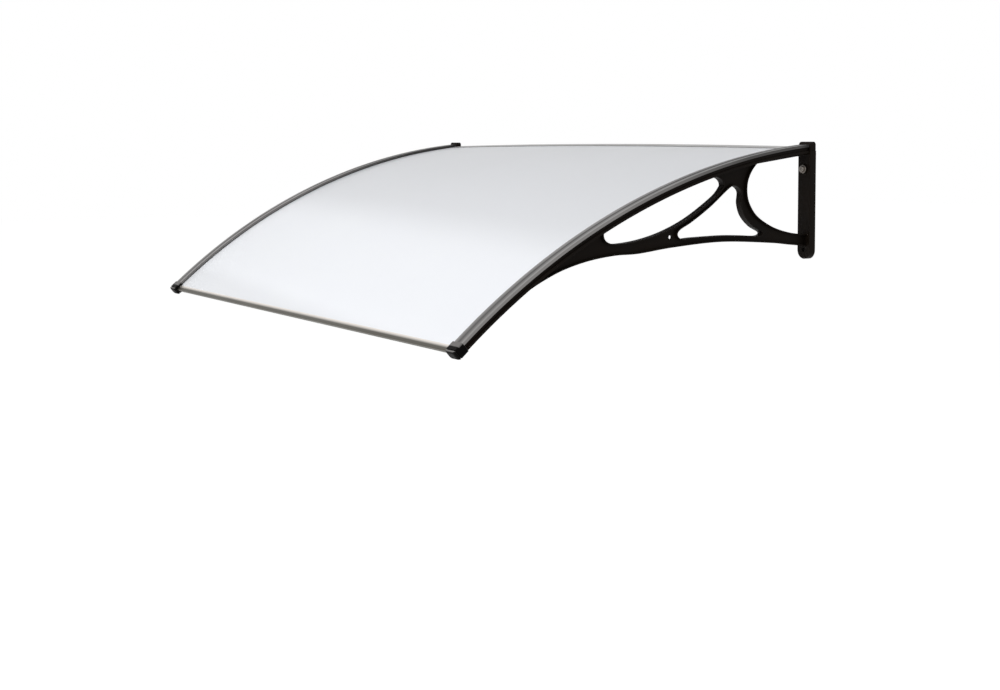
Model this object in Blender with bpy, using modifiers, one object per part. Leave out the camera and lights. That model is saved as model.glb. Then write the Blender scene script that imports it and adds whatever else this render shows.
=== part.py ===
# Arched polycarbonate door canopy on two moulded wall brackets.
# Metres, +Z up. The wall is the plane y = 0 and the canopy reaches out along -Y.
# The origin lies on the wall at mid-width, level with the top of the sheet where the arc starts.
import math

import bmesh
import bpy
from mathutils import Matrix

# Overall size, and the slope of the arc below the horizontal at its two ends
CANOPY_WIDTH = 1.600
CANOPY_DEPTH = 0.900
SLOPE_AT_WALL = math.radians(5.2)
SLOPE_AT_FRONT = math.radians(41.9)

# Gap between pieces that touch
CLEARANCE = 0.0003

# Opal sheet
SHEET_THICKNESS = 0.004
CROWN_BELOW_STRIP = 0.0016  # middle of the sheet at the wall, below the top of the cover strips
SHEET_BITE = 0.011  # how far the sheet reaches under a cover strip

# Aluminium cover strip along each curved edge
STRIP_WIDTH = 0.033
STRIP_HEIGHT = 0.008  # above the top of the sheet
STRIP_WALL = 0.0018
STRIP_SIDE_LIFT = 0.0020  # bottom of the outer side, above the top of the sheet
STRIP_ROUNDING = 0.0012
GROOVE_WIDTH = 0.0056
GROOVE_DEPTH = 0.0011
SCREW_LINE = 0.0035  # the screws lie this far outside the middle of the strip
SCREW_SLOT_WALL = 0.0014

# Rubber gasket round the edge of the sheet
GASKET_WALL = 0.0012
GASKET_REACH = 0.0098
GASKET_EDGE = 0.0020

# Bracket: the curved flange, the ribbed web under it and the wall plate
FLANGE_WIDTH = 0.033
FLANGE_THICKNESS = 0.0054
UPSTAND_WIDTH = 0.0035
UPSTAND_SETBACK = 0.0035  # from the outer side of the flange
RIB_DEPTH = 0.018
WEB_THICKNESS = 0.0056
RIM_WIDTH = 0.0030
TOP_RIM = 0.0008  # rim of the openings below the flange
PLATE_WIDTH = 0.040
PLATE_THICKNESS = 0.0160
TONGUE_TOP = 0.0060  # the plate's tongue, inside the rear cap
TONGUE_SETBACK = 0.0025
PLATE_TAIL = 0.0469  # from the top of the lower arm's arch down to the end of the plate
PLATE_ROUNDING = 0.0015
COLLAR_HEIGHT = 0.0060
COLLAR_GROWTH = 0.0005
COLLAR_DROP = 0.0125
ROOT_DEPTH = 0.0153  # underside of the bracket's top arm where it meets the plate
NOSE_LENGTH = 0.155  # bare flange in front of the web
EYE_DIAMETER = 0.0090

# Wall bolts
BOLT_DIAMETER = 0.008
BOLT_HOLE = 0.009
BOLT_HEAD_ACROSS = 0.013
BOLT_HEAD_HEIGHT = 0.0053
BOLT_BOSS_DIAMETER = 0.0205
BOLT_BOSS_HEIGHT = 0.0026
WASHER_DIAMETER = 0.0185
WASHER_THICKNESS = 0.0016
UPPER_BOLT_DROP = 0.0475

# Screws that hold the cover strips, put in from below
SCREW_DIAMETER = 0.0032
SCREW_HOLE = 0.0042
SCREW_HEAD_DIAMETER = 0.0076
SCREW_HEAD_HEIGHT = 0.0026
SCREW_SEAT_DEPTH = 0.0003  # spot face cut into the flange
SCREW_REACH = 0.0040  # tip above the top of the sheet
SCREW_SHARES = (0.115, 0.45, 0.88)  # places along the arc

# Front bar along the low edge
FRONT_LIP = 0.013
FRONT_WALL = 0.0017
FRONT_WEB = 0.0022

# Rear bar along the wall, with its seal
REAR_LIP = 0.016
REAR_WALL = 0.0015
REAR_BACK = 0.0025
REAR_BACK_DROP = 0.0172
SEAL_WIDTH = 0.0032
SEAL_HEIGHT = 0.0030

# End caps
REAR_CAP_WALL = 0.0016
REAR_CAP_SETBACK = 0.0010  # how far each side of the cap stands inside the plate's side
REAR_CAP_RISE = 0.0046  # above the top of the cover strips
REAR_CAP_BOTTOM = -0.0064
REAR_CAP_SHOULDER = 0.0070  # radius of the two upper corners
REAR_CAP_ROUNDING = 0.0022
FRONT_CAP_WALL = 0.0017
FRONT_CAP_INNER_WALL = 0.0035
FRONT_CAP_LENGTH = 0.018
FRONT_CAP_CORNER = 0.0034
FRONT_CAP_FACE = 0.0012  # wall in front of the strip and the flange
FRONT_CAP_GROOVE = 0.0016
FRONT_CAP_GROOVE_WIDTH = 0.0024
FRONT_CAP_NOSE = 0.0052  # length of the domed nose in front of the groove
NOSE_NARROWING = 0.0095  # end of the nose, inside each side of the cap
NOSE_THINNING = 0.0050  # end of the nose, inside the cap's top and underside

# Facets
ARC_STEPS = 26
SHEET_COLUMNS = 12
CURVE_STEPS = 4
ROUND_STEPS = 24
SCREW_STEPS = 12

# What follows from the sizes above
ARC_RADIUS = CANOPY_DEPTH / (math.sin(SLOPE_AT_FRONT) - math.sin(SLOPE_AT_WALL))
ARC_Y = ARC_RADIUS * math.sin(SLOPE_AT_WALL)
ARC_Z = -ARC_RADIUS * math.cos(SLOPE_AT_WALL)
STRIP_MIDDLE = (CANOPY_WIDTH - STRIP_WIDTH) / 2
STRIP_INNER = STRIP_MIDDLE - STRIP_WIDTH / 2
SHEET_CROWN = STRIP_HEIGHT - CROWN_BELOW_STRIP
SHEET_EDGE = STRIP_INNER + SHEET_BITE
GASKET_TOP = CLEARANCE + GASKET_WALL
GASKET_BOTTOM = -SHEET_THICKNESS - CLEARANCE - GASKET_WALL
FLANGE_TOP = GASKET_BOTTOM - CLEARANCE
FLANGE_UNDER = FLANGE_TOP - FLANGE_THICKNESS
SHEET_START = PLATE_THICKNESS + CLEARANCE
SCREW_SEAT = FLANGE_UNDER + SCREW_SEAT_DEPTH
WEB_REACH = CANOPY_DEPTH - NOSE_LENGTH
REAR_CAP_TOP = STRIP_HEIGHT + REAR_CAP_RISE

parts = None
cutters = None


def angle_at(distance, offset=0.0):
    """Angle along the arc at a distance from the wall, on a layer offset outwards."""
    return math.asin((distance + ARC_Y) / (ARC_RADIUS + offset))


def arc_point(angle, offset=0.0):
    """(y, z) on the arc, or on a layer offset outwards from it."""
    radius = ARC_RADIUS + offset
    return ARC_Y - radius * math.sin(angle), ARC_Z + radius * math.cos(angle)


def arc_height(distance, offset=0.0):
    return arc_point(angle_at(distance, offset), offset)[1]


def crown(x, angle):
    """Rise of the sheet between the cover strips, full at the wall and none at the front."""
    across = max(0.0, 1 - (x / STRIP_INNER) ** 2)
    along = (SLOPE_AT_FRONT - angle) / (SLOPE_AT_FRONT - SLOPE_AT_WALL)
    return SHEET_CROWN * across * along * along


# The bracket's curves run through places given as shares: first of the web's reach out from
# the wall, then of the arm's drop below the origin, so that they follow the arm's size.
LOWER_EDGE = (
    (0.0081, 1.0972), (0.0671, 1.0756), (0.1611, 1.0403), (0.3396, 1.0081), (0.5101, 1.0458),
    (0.6309, 1.0967), (0.7128, 1.1073), (0.7987, 1.1506), (0.8792, 1.2292), (0.9463, 1.3340),
    (1.0067, 1.4534),
)
LEAF_OPENING = (
    (0.7423, 0.8262), (0.7477, 0.9018), (0.7356, 0.9647), (0.7007, 0.9874), (0.6201, 0.9531),
    (0.5369, 0.8715), (0.4532, 0.7370), (0.3658, 0.5340), (0.3376, 0.4307), (0.3342, 0.3829),
    (0.3450, 0.3350), (0.3705, 0.3023),
)
TRIANGLE_OPENING = (
    (0.2866, 0.4181), (0.3103, 0.4307), (0.3801, 0.6277), (0.4463, 0.7839), (0.4872, 0.8625),
    (0.4966, 0.9169), (0.4819, 0.9607), (0.4413, 0.9521), (0.3329, 0.9411), (0.2599, 0.9491),
    (0.2040, 0.9587), (0.1893, 0.9244), (0.2247, 0.8544), (0.2564, 0.7406), (0.2698, 0.6045),
    (0.2685, 0.4786),
)
D_OPENING = (
    (0.1933, 0.1360), (0.2134, 0.1839), (0.2329, 0.2720), (0.2451, 0.3829), (0.2454, 0.5139),
    (0.2336, 0.6322), (0.2054, 0.7531), (0.1486, 0.8685), (0.0805, 0.9380), (0.0081, 0.9647),
)
EYE_PLACE = (0.5168, 0.9395)

ARM_BELOW_ARC = 0.0398  # lower arch of the arm, below the sheet at the front of the leaf opening
LEAF_FRONT = WEB_REACH * max(out for out, down in LEAF_OPENING)
ARM_DROP = ARM_BELOW_ARC - arc_height(LEAF_FRONT)
PLATE_BOTTOM = -ARM_DROP - PLATE_TAIL


def as_built(place):
    """(distance, height) on the bracket of a place given as shares."""
    return place[0] * WEB_REACH, -place[1] * ARM_DROP


def smooth_line(knots, closed, steps=CURVE_STEPS):
    """Points of a smooth curve through the knots."""
    count = len(knots)
    points = []
    for i in range(count if closed else count - 1):
        if closed:
            a, b, c, d = (knots[(i + k) % count] for k in (-1, 0, 1, 2))
        else:
            a, b, c, d = (knots[min(max(i + k, 0), count - 1)] for k in (-1, 0, 1, 2))
        for step in range(steps):
            t = step / steps
            points.append(tuple(
                0.5 * (2 * b[n] + (c[n] - a[n]) * t + (2 * a[n] - 5 * b[n] + 4 * c[n] - d[n]) * t ** 2
                       + (3 * b[n] - a[n] - 3 * c[n] + d[n]) * t ** 3)
                for n in (0, 1)))
    if not closed:
        points.append(knots[-1])
    return points


def moved_aside(points, distance, closed):
    """The line moved to its left by a distance, as seen along its direction."""
    count = len(points)
    out = []
    for i, (x, y) in enumerate(points):
        before = points[(i - 1) % count] if closed or i > 0 else points[i]
        after = points[(i + 1) % count] if closed or i < count - 1 else points[i]
        dx, dy = after[0] - before[0], after[1] - before[1]
        length = math.hypot(dx, dy)
        out.append((x - dy / length * distance, y + dx / length * distance))
    return out


def turns_left(points):
    area = sum(a[0] * b[1] - b[0] * a[1] for a, b in zip(points, points[1:] + points[:1]))
    return area > 0


def new_material(name, colour, roughness, metallic=0.0, alpha=1.0):
    material = bpy.data.materials.new(name)
    material.use_nodes = True
    shader = material.node_tree.nodes["Principled BSDF"]
    shader.inputs["Base Color"].default_value = (*colour, 1.0)
    shader.inputs["Roughness"].default_value = roughness
    shader.inputs["Metallic"].default_value = metallic
    shader.inputs["Alpha"].default_value = alpha
    material.diffuse_color = (*colour, alpha)
    return material


def add_part(name, mesh, look):
    """An object of the canopy with a material of its own."""
    mesh.name = name
    piece = bpy.data.objects.new(name, mesh)
    mesh.materials.clear()
    mesh.materials.append(new_material(name, *look))
    parts.objects.link(piece)
    mesh.shade_smooth()
    mesh.set_sharp_from_angle(angle=math.radians(32))
    return piece


def add_cutter(name, mesh):
    cutter = bpy.data.objects.new(name, mesh)
    cutters.objects.link(cutter)
    cutter.hide_render = True
    cutter.display_type = "WIRE"
    return cutter


def mesh_of(bm):
    bmesh.ops.recalc_face_normals(bm, faces=bm.faces)
    mesh = bpy.data.meshes.new("shape")
    bm.to_mesh(mesh)
    bm.free()
    return mesh


def evaluated_mesh(piece):
    graph = bpy.context.evaluated_depsgraph_get()
    mesh = bpy.data.meshes.new_from_object(piece.evaluated_get(graph))
    mesh.transform(piece.matrix_world)
    return mesh


def cut_or_join(mesh, others, operation, solver="EXACT"):
    """The mesh after each of the other shapes is cut from it or joined to it."""
    piece = bpy.data.objects.new("work", mesh)
    bpy.context.scene.collection.objects.link(piece)
    for number, other in enumerate(others):
        boolean = piece.modifiers.new(f"boolean_{number}", "BOOLEAN")
        boolean.operation = operation
        boolean.object = other
        boolean.solver = solver
    bpy.context.view_layer.update()
    result = evaluated_mesh(piece)
    bpy.data.objects.remove(piece)
    return result


def swept_along_arc(section, start, end, steps=ARC_STEPS):
    """A section of (x, offset) points carried along the arc between two angles."""
    bm = bmesh.new()
    corners = []
    for x, offset in section:
        y, z = arc_point(start, offset)
        corners.append(bm.verts.new((x, y, z)))
    face = bm.faces.new(corners)
    bmesh.ops.spin(bm, geom=[*corners, *face.edges, face], cent=(0, ARC_Y, ARC_Z), axis=(1, 0, 0),
                   angle=end - start, steps=steps, use_duplicate=False)
    bmesh.ops.remove_doubles(bm, verts=bm.verts, dist=1e-6)
    return mesh_of(bm)


def along_width(section, half_length, steps=1, crowned=False):
    """A section of (distance, z) points carried across the canopy, raised with the sheet's crown."""
    bm = bmesh.new()
    rings = []
    for step in range(steps + 1):
        x = half_length * (2 * step / steps - 1)
        ring = []
        for d, z in section:
            rise = crown(x, max(SLOPE_AT_WALL, angle_at(d))) if crowned else 0.0
            ring.append(bm.verts.new((x, -d, z + rise)))
        rings.append(ring)
    count = len(section)
    for one, other in zip(rings, rings[1:]):
        for i in range(count):
            j = (i + 1) % count
            bm.faces.new((one[i], one[j], other[j], other[i]))
    bm.faces.new(rings[0])
    bm.faces.new(rings[-1])
    return mesh_of(bm)


def flat_outline(loops, thickness, middle_x):
    """A plate across X from closed (distance, z) loops, the first being its outside."""
    curve = bpy.data.curves.new("outline", "CURVE")
    curve.dimensions = "2D"
    curve.fill_mode = "BOTH"
    curve.extrude = thickness / 2
    for points in loops:
        spline = curve.splines.new("POLY")
        spline.points.add(len(points) - 1)
        for point, (d, z) in zip(spline.points, points):
            point.co = (d, z, 0, 1)
        spline.use_cyclic_u = True
    drawn = bpy.data.objects.new("outline", curve)
    bpy.context.scene.collection.objects.link(drawn)
    # The drawing's X becomes -Y, its Y becomes Z and its Z becomes -X.
    drawn.matrix_world = Matrix(((0, 0, -1, middle_x), (-1, 0, 0, 0), (0, 1, 0, 0), (0, 0, 0, 1)))
    bpy.context.view_layer.update()
    mesh = evaluated_mesh(drawn)
    bpy.data.objects.remove(drawn)
    bm = bmesh.new()
    bm.from_mesh(mesh)
    bmesh.ops.remove_doubles(bm, verts=bm.verts, dist=1e-6)
    return mesh_of(bm)


def block(low, high, rounding=0.0, segments=3):
    """A box between two corners, with its edges rounded."""
    bm = bmesh.new()
    bmesh.ops.create_cube(bm, size=1.0)
    for vert in bm.verts:
        for axis in range(3):
            vert.co[axis] = low[axis] + (high[axis] - low[axis]) * (vert.co[axis] + 0.5)
    if rounding:
        bmesh.ops.bevel(bm, geom=bm.edges[:], offset=rounding, segments=segments, affect="EDGES", profile=0.5)
    return mesh_of(bm)


def cylinder(diameter, length, segments=ROUND_STEPS):
    """A cylinder along +Z from the origin."""
    bm = bmesh.new()
    bmesh.ops.create_cone(bm, cap_ends=True, segments=segments, radius1=diameter / 2,
                          radius2=diameter / 2, depth=length)
    bmesh.ops.translate(bm, verts=bm.verts, vec=(0, 0, length / 2))
    return mesh_of(bm)


def turned(profile, steps=ROUND_STEPS):
    """A turned shape from (radius, z) points that run down its outer side, top to bottom."""
    mesh = bpy.data.meshes.new("profile")
    verts = [(radius, 0, z) for radius, z in profile]
    mesh.from_pydata(verts, [(i, i + 1) for i in range(len(verts) - 1)], [])
    piece = bpy.data.objects.new("profile", mesh)
    bpy.context.scene.collection.objects.link(piece)
    screw = piece.modifiers.new("turn", "SCREW")
    screw.steps = screw.render_steps = steps
    screw.use_merge_vertices = True
    screw.merge_threshold = 1e-5
    bpy.context.view_layer.update()
    result = evaluated_mesh(piece)
    bpy.data.objects.remove(piece)
    return result


def mirrored(mesh):
    """The same mesh on the other side of the middle of the canopy."""
    copy = mesh.copy()
    copy.transform(Matrix.Scale(-1, 4, (1, 0, 0)))
    copy.flip_normals()
    return copy


def add_pair(name, mesh, look):
    """The piece on the right and its mirror image on the left."""
    other = mirrored(mesh)
    add_part(f"{name}_right", mesh, look)
    add_part(f"{name}_left", other, look)


def make_sheet():
    """One opal sheet, arched from the wall and a little crowned across its width."""
    end = angle_at(CANOPY_DEPTH)
    start = angle_at(SHEET_START)
    inner = SHEET_COLUMNS - 2
    columns = [-SHEET_EDGE] + [STRIP_INNER * (2 * i / inner - 1) for i in range(inner + 1)] + [SHEET_EDGE]
    bpy.ops.mesh.primitive_grid_add(x_subdivisions=SHEET_COLUMNS, y_subdivisions=ARC_STEPS, size=1)
    grid = bpy.context.object
    for vert in grid.data.vertices:
        x = columns[round((vert.co.x + 0.5) * SHEET_COLUMNS)]
        angle = end + (start - end) * (vert.co.y + 0.5)
        y, z = arc_point(angle)
        vert.co = (x, y, z + crown(x, angle))
    solidify = grid.modifiers.new("thickness", "SOLIDIFY")
    solidify.thickness = SHEET_THICKNESS
    solidify.offset = -1
    bpy.context.view_layer.update()
    mesh = evaluated_mesh(grid)
    bpy.data.objects.remove(grid)
    add_part("canopy_sheet", mesh, OPAL_SHEET)


def make_cover_strips():
    """Aluminium profile with a grooved top, two sides and a screw slot that stands on the flange."""
    half = STRIP_WIDTH / 2
    r = STRIP_ROUNDING
    under = STRIP_HEIGHT - STRIP_WALL
    slot = SCREW_DIAMETER / 2 + CLEARANCE
    foot = FLANGE_TOP + CLEARANCE
    left_leg = (SCREW_LINE - slot - SCREW_SLOT_WALL, SCREW_LINE - slot)
    right_leg = (SCREW_LINE + slot, SCREW_LINE + slot + SCREW_SLOT_WALL)
    section = [
        (-half, GASKET_TOP + CLEARANCE),
        (-half + STRIP_WALL, GASKET_TOP + CLEARANCE),
        (-half + STRIP_WALL, under),
        (left_leg[0], under), (left_leg[0], foot), (left_leg[1], foot), (left_leg[1], under),
        (right_leg[0], under), (right_leg[0], foot), (right_leg[1], foot), (right_leg[1], under),
        (half - STRIP_WALL, under),
        (half - STRIP_WALL, STRIP_SIDE_LIFT),
        (half, STRIP_SIDE_LIFT),
        (half, STRIP_HEIGHT - r), (half - 0.3 * r, STRIP_HEIGHT - 0.3 * r), (half - r, STRIP_HEIGHT),
        (GROOVE_WIDTH / 2, STRIP_HEIGHT), (GROOVE_WIDTH / 4, STRIP_HEIGHT - GROOVE_DEPTH),
        (-GROOVE_WIDTH / 4, STRIP_HEIGHT - GROOVE_DEPTH), (-GROOVE_WIDTH / 2, STRIP_HEIGHT),
        (-half + r, STRIP_HEIGHT), (-half + 0.3 * r, STRIP_HEIGHT - 0.3 * r), (-half, STRIP_HEIGHT - r),
    ]
    section = [(STRIP_MIDDLE + x, offset) for x, offset in section]
    mesh = swept_along_arc(section, angle_at(SHEET_START), angle_at(CANOPY_DEPTH))
    add_pair("cover_strip", mesh, ALUMINIUM)


def make_gaskets():
    """Rubber edging, open towards the sheet."""
    outer = SHEET_EDGE + CLEARANCE + GASKET_EDGE
    inner = SHEET_EDGE + CLEARANCE - GASKET_REACH
    web = SHEET_EDGE + CLEARANCE
    section = [
        (inner, GASKET_BOTTOM), (outer, GASKET_BOTTOM), (outer, GASKET_TOP), (inner, GASKET_TOP),
        (inner, CLEARANCE), (web, CLEARANCE), (web, -SHEET_THICKNESS - CLEARANCE),
        (inner, -SHEET_THICKNESS - CLEARANCE),
    ]
    mesh = swept_along_arc(section, angle_at(SHEET_START), angle_at(CANOPY_DEPTH))
    add_pair("edge_gasket", mesh, RUBBER)


def layer_of(point):
    """Offset from the arc of a (distance, z) point."""
    return math.hypot(point[0] + ARC_Y, point[1] - ARC_Z) - ARC_RADIUS


def along_layer(first, last, offset):
    """Points along a layer of the arc, over the span between two (distance, z) points."""
    start, end = (math.atan2(point[0] + ARC_Y, point[1] - ARC_Z) for point in (first, last))
    steps = math.ceil(ARC_STEPS * abs(end - start) / (SLOPE_AT_FRONT - SLOPE_AT_WALL))
    points = []
    for i in range(steps + 1):
        y, z = arc_point(start + (end - start) * i / steps, offset)
        points.append((-y, z))
    return points


def closed_under(line, offset, behind=None, root_depth=None):
    """A closed loop: the line below a layer of the arc, and at the wall end stopped by an upright.

    With a root depth the top runs straight from there into the layer.
    """
    kept = [point for point in line if layer_of(point) < offset and (behind is None or point[0] > behind)]
    if behind is None:
        return kept + along_layer(kept[-1], kept[0], offset)
    if kept[0][0] < kept[-1][0]:
        kept.reverse()
    if root_depth:
        return kept + [(behind, kept[-1][1]), (behind, -root_depth)]
    corner = (behind, arc_height(behind, offset))
    return kept + [(behind, kept[-1][1])] + along_layer(corner, kept[0], offset)


def web_loops(grown, layer, opening_layer, behind, opening_behind, root_depth=None):
    """Outside and openings of the web.

    Grown openings in a shrunk outside give the pocket between the rims.
    """
    lower = smooth_line([as_built(place) for place in LOWER_EDGE], closed=False)
    leaf = smooth_line([as_built(place) for place in LEAF_OPENING], closed=False)
    opening_d = smooth_line([as_built(place) for place in D_OPENING], closed=False)
    triangle = smooth_line([as_built(place) for place in TRIANGLE_OPENING], closed=True)
    leaf, opening_d, triangle = (
        moved_aside(line, -grown if turns_left(line) else grown, line is triangle)
        for line in (leaf, opening_d, triangle))
    return [
        closed_under(moved_aside(lower, grown, closed=False), layer, behind),
        closed_under(leaf, opening_layer),
        closed_under(opening_d, opening_layer, opening_behind, root_depth),
        triangle,
    ]


def make_web():
    """The web with its rims: a flat plate with openings, pocketed from both sides."""
    # The web's own edges end inside the flange and the plate, and a pocket's edges run past them.
    loops = web_loops(0.0, (FLANGE_TOP + FLANGE_UNDER) / 2, FLANGE_UNDER - TOP_RIM,
                      PLATE_THICKNESS / 2, 0.8 * PLATE_THICKNESS, ROOT_DEPTH)
    web = flat_outline(loops, RIB_DEPTH, STRIP_MIDDLE)
    loops = web_loops(RIM_WIDTH, FLANGE_TOP + FLANGE_THICKNESS, FLANGE_TOP,
                      0.0, PLATE_THICKNESS / 4)
    pocket_depth = RIB_DEPTH / 2
    distance, height = as_built(EYE_PLACE)
    eye = cylinder(EYE_DIAMETER, 2 * RIB_DEPTH)
    eye.transform(Matrix.Translation((STRIP_MIDDLE - RIB_DEPTH, -distance, height)) @ Matrix.Rotation(
        math.pi / 2, 4, "Y"))
    cutting = [add_cutter("eye", eye)]
    for side in (-1, 1):
        middle = STRIP_MIDDLE + side * (WEB_THICKNESS + pocket_depth) / 2
        pocket = flat_outline(loops, pocket_depth, middle)
        cutting.append(add_cutter(f"pocket_{side + 1}", pocket))
    return cut_or_join(web, cutting, "DIFFERENCE", "MANIFOLD")


def make_brackets():
    """One moulding: flange, ribbed web with its three openings, and wall plate.

    The web's top and the flange run almost together, and the manifold solver keeps them closed at every size.
    """
    left, right = STRIP_MIDDLE - FLANGE_WIDTH / 2, STRIP_MIDDLE + FLANGE_WIDTH / 2
    flange = swept_along_arc(
        [(left, FLANGE_UNDER), (right, FLANGE_UNDER), (right, FLANGE_TOP), (left, FLANGE_TOP)],
        angle_at(PLATE_THICKNESS / 2), angle_at(CANOPY_DEPTH))
    outer, foot = right - UPSTAND_SETBACK, (FLANGE_TOP + FLANGE_UNDER) / 2
    upstand = swept_along_arc(
        [(outer - UPSTAND_WIDTH, foot), (outer, foot), (outer, GASKET_TOP),
         (outer - UPSTAND_WIDTH, GASKET_TOP)],
        angle_at(SHEET_START), angle_at(CANOPY_DEPTH - UPSTAND_SETBACK))
    half = PLATE_WIDTH / 2 + COLLAR_GROWTH
    collar = block(
        (STRIP_MIDDLE - half, -PLATE_THICKNESS - COLLAR_GROWTH, -COLLAR_DROP - COLLAR_HEIGHT),
        (STRIP_MIDDLE + half, 0.0, -COLLAR_DROP), 0.0006, 2)
    plate = cut_or_join(wall_plate(), [
        add_cutter("plate_tongue", plate_tongue()), add_cutter("bolt_boss", bolt_boss()),
        add_cutter("collar", collar)], "UNION")
    joined = [add_cutter("flange", flange), add_cutter("upstand", upstand), add_cutter("web", make_web())]
    mesh = cut_or_join(plate, joined, "UNION", "MANIFOLD")
    holes = []
    for drop in (UPPER_BOLT_DROP, -PLATE_BOTTOM - PLATE_WIDTH / 2):
        hole = cylinder(BOLT_HOLE, 3 * PLATE_THICKNESS)
        hole.transform(Matrix.Translation((STRIP_MIDDLE, PLATE_THICKNESS, -drop)) @ Matrix.Rotation(
            math.pi / 2, 4, "X"))
        holes.append(add_cutter("bolt_hole", hole))
    for share in SCREW_SHARES:
        hole = cylinder(SCREW_HOLE, 3 * FLANGE_THICKNESS, SCREW_STEPS)
        hole.transform(screw_frame(share, FLANGE_UNDER - FLANGE_THICKNESS))
        holes.append(add_cutter("screw_hole", hole))
        seat = cylinder(SCREW_HEAD_DIAMETER + 4 * CLEARANCE, 2 * SCREW_HEAD_HEIGHT, SCREW_STEPS)
        seat.transform(screw_frame(share, SCREW_SEAT - 2 * SCREW_HEAD_HEIGHT))
        holes.append(add_cutter("screw_seat", seat))
    mesh = cut_or_join(mesh, holes, "DIFFERENCE", "MANIFOLD")
    add_pair("bracket", mesh, BLACK_PLASTIC)


def quarter_turn(centre_x, centre_z, radius, first, steps):
    """(x, z) points of a quarter circle from an angle on, towards +Z from +X."""
    points = []
    for i in range(steps + 1):
        turn = first + math.pi / 2 * i / steps
        points.append((centre_x + radius * math.cos(turn), centre_z + radius * math.sin(turn)))
    return points


def upright_prism(outline, depth, rounding):
    """A prism that stands out from the wall, from (x, z) points about the strip's middle."""
    bm = bmesh.new()
    face = bm.faces.new([bm.verts.new((STRIP_MIDDLE + x, 0, z)) for x, z in outline])
    grown = bmesh.ops.extrude_face_region(bm, geom=[face])["geom"]
    verts = [item for item in grown if isinstance(item, bmesh.types.BMVert)]
    bmesh.ops.translate(bm, verts=verts, vec=(0, -depth, 0))
    front = [edge for edge in bm.edges if all(vert.co.y < -depth / 2 for vert in edge.verts)]
    bmesh.ops.bevel(bm, geom=front, offset=rounding, segments=2, affect="EDGES", profile=0.5)
    return mesh_of(bm)


def wall_plate():
    """Upright plate with a half-round lower end."""
    half = PLATE_WIDTH / 2
    top = REAR_CAP_BOTTOM - CLEARANCE
    middle = PLATE_BOTTOM + half
    outline = [(half, top), (-half, top)]
    outline += quarter_turn(0, middle, half, math.pi, 7)[:-1]
    outline += quarter_turn(0, middle, half, 1.5 * math.pi, 7)
    return upright_prism(outline, PLATE_THICKNESS, PLATE_ROUNDING)


def plate_tongue():
    """Narrower top of the plate, which the rear cap sits on."""
    half = PLATE_WIDTH / 2 - REAR_CAP_SETBACK - REAR_CAP_WALL - CLEARANCE
    return block((STRIP_MIDDLE - half, -PLATE_THICKNESS + TONGUE_SETBACK, -2 * COLLAR_DROP),
                 (STRIP_MIDDLE + half, 0.0, TONGUE_TOP))


def bolt_boss():
    """Round pad under the upper bolt's washer."""
    pad = cylinder(BOLT_BOSS_DIAMETER, PLATE_THICKNESS / 2 + BOLT_BOSS_HEIGHT)
    pad.transform(Matrix.Translation((STRIP_MIDDLE, -PLATE_THICKNESS / 2, -UPPER_BOLT_DROP))
                  @ Matrix.Rotation(math.pi / 2, 4, "X"))
    return pad


def screw_frame(share, offset):
    """Place on the screw line at a share of the arc, with Z pointing out of the arc."""
    angle = SLOPE_AT_WALL + (SLOPE_AT_FRONT - SLOPE_AT_WALL) * share
    y, z = arc_point(angle, offset)
    return Matrix.Translation((STRIP_MIDDLE + SCREW_LINE, y, z)) @ Matrix.Rotation(angle, 4, "X")


def make_strip_screws():
    """Pan-head screws under the flange, whose tips stand in the strip's slot."""
    seat = SCREW_SEAT - CLEARANCE
    length = SCREW_REACH - seat
    head = SCREW_HEAD_DIAMETER / 2
    core = SCREW_DIAMETER / 2
    profile = [
        (0.0, length), (0.6 * core, length), (core, length - 0.8 * core), (core, 0.0), (head, 0.0),
        (head, -0.45 * SCREW_HEAD_HEIGHT), (0.8 * head, -0.85 * SCREW_HEAD_HEIGHT),
        (0.45 * head, -SCREW_HEAD_HEIGHT), (0.0, -SCREW_HEAD_HEIGHT),
    ]
    for number, share in enumerate(SCREW_SHARES, start=1):
        mesh = turned(profile, SCREW_STEPS)
        mesh.transform(screw_frame(share, seat))
        add_pair(f"strip_screw_{number}", mesh, ZINC)


def make_wall_bolts():
    """A hexagon bolt with a washer in the upper hole of each wall plate, cut off at the wall."""
    front = -PLATE_THICKNESS - BOLT_BOSS_HEIGHT - CLEARANCE
    inner = BOLT_HOLE / 2
    washer = turned([
        (inner, WASHER_THICKNESS), (WASHER_DIAMETER / 2 - 0.0003, WASHER_THICKNESS),
        (WASHER_DIAMETER / 2, WASHER_THICKNESS - 0.0003), (WASHER_DIAMETER / 2, 0.0), (inner, 0.0),
        (inner, WASHER_THICKNESS),
    ])
    at_hole = Matrix.Translation((STRIP_MIDDLE, front, -UPPER_BOLT_DROP)) @ Matrix.Rotation(
        math.pi / 2, 4, "X")
    washer.transform(at_hole)
    add_pair("bolt_washer", washer, ZINC)
    head_front = WASHER_THICKNESS + CLEARANCE
    head = cylinder(BOLT_HEAD_ACROSS / math.cos(math.pi / 6), BOLT_HEAD_HEIGHT, 6)
    head.transform(Matrix.Translation((0, 0, head_front)))
    shank_depth = PLATE_THICKNESS + BOLT_BOSS_HEIGHT
    shank = cylinder(BOLT_DIAMETER, shank_depth + head_front + BOLT_HEAD_HEIGHT / 2)
    shank.transform(Matrix.Translation((0, 0, -shank_depth)))
    bolt = cut_or_join(head, [add_cutter("bolt_shank", shank)], "UNION")
    bolt.transform(at_hole)
    add_pair("wall_bolt", bolt, ZINC)


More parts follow.
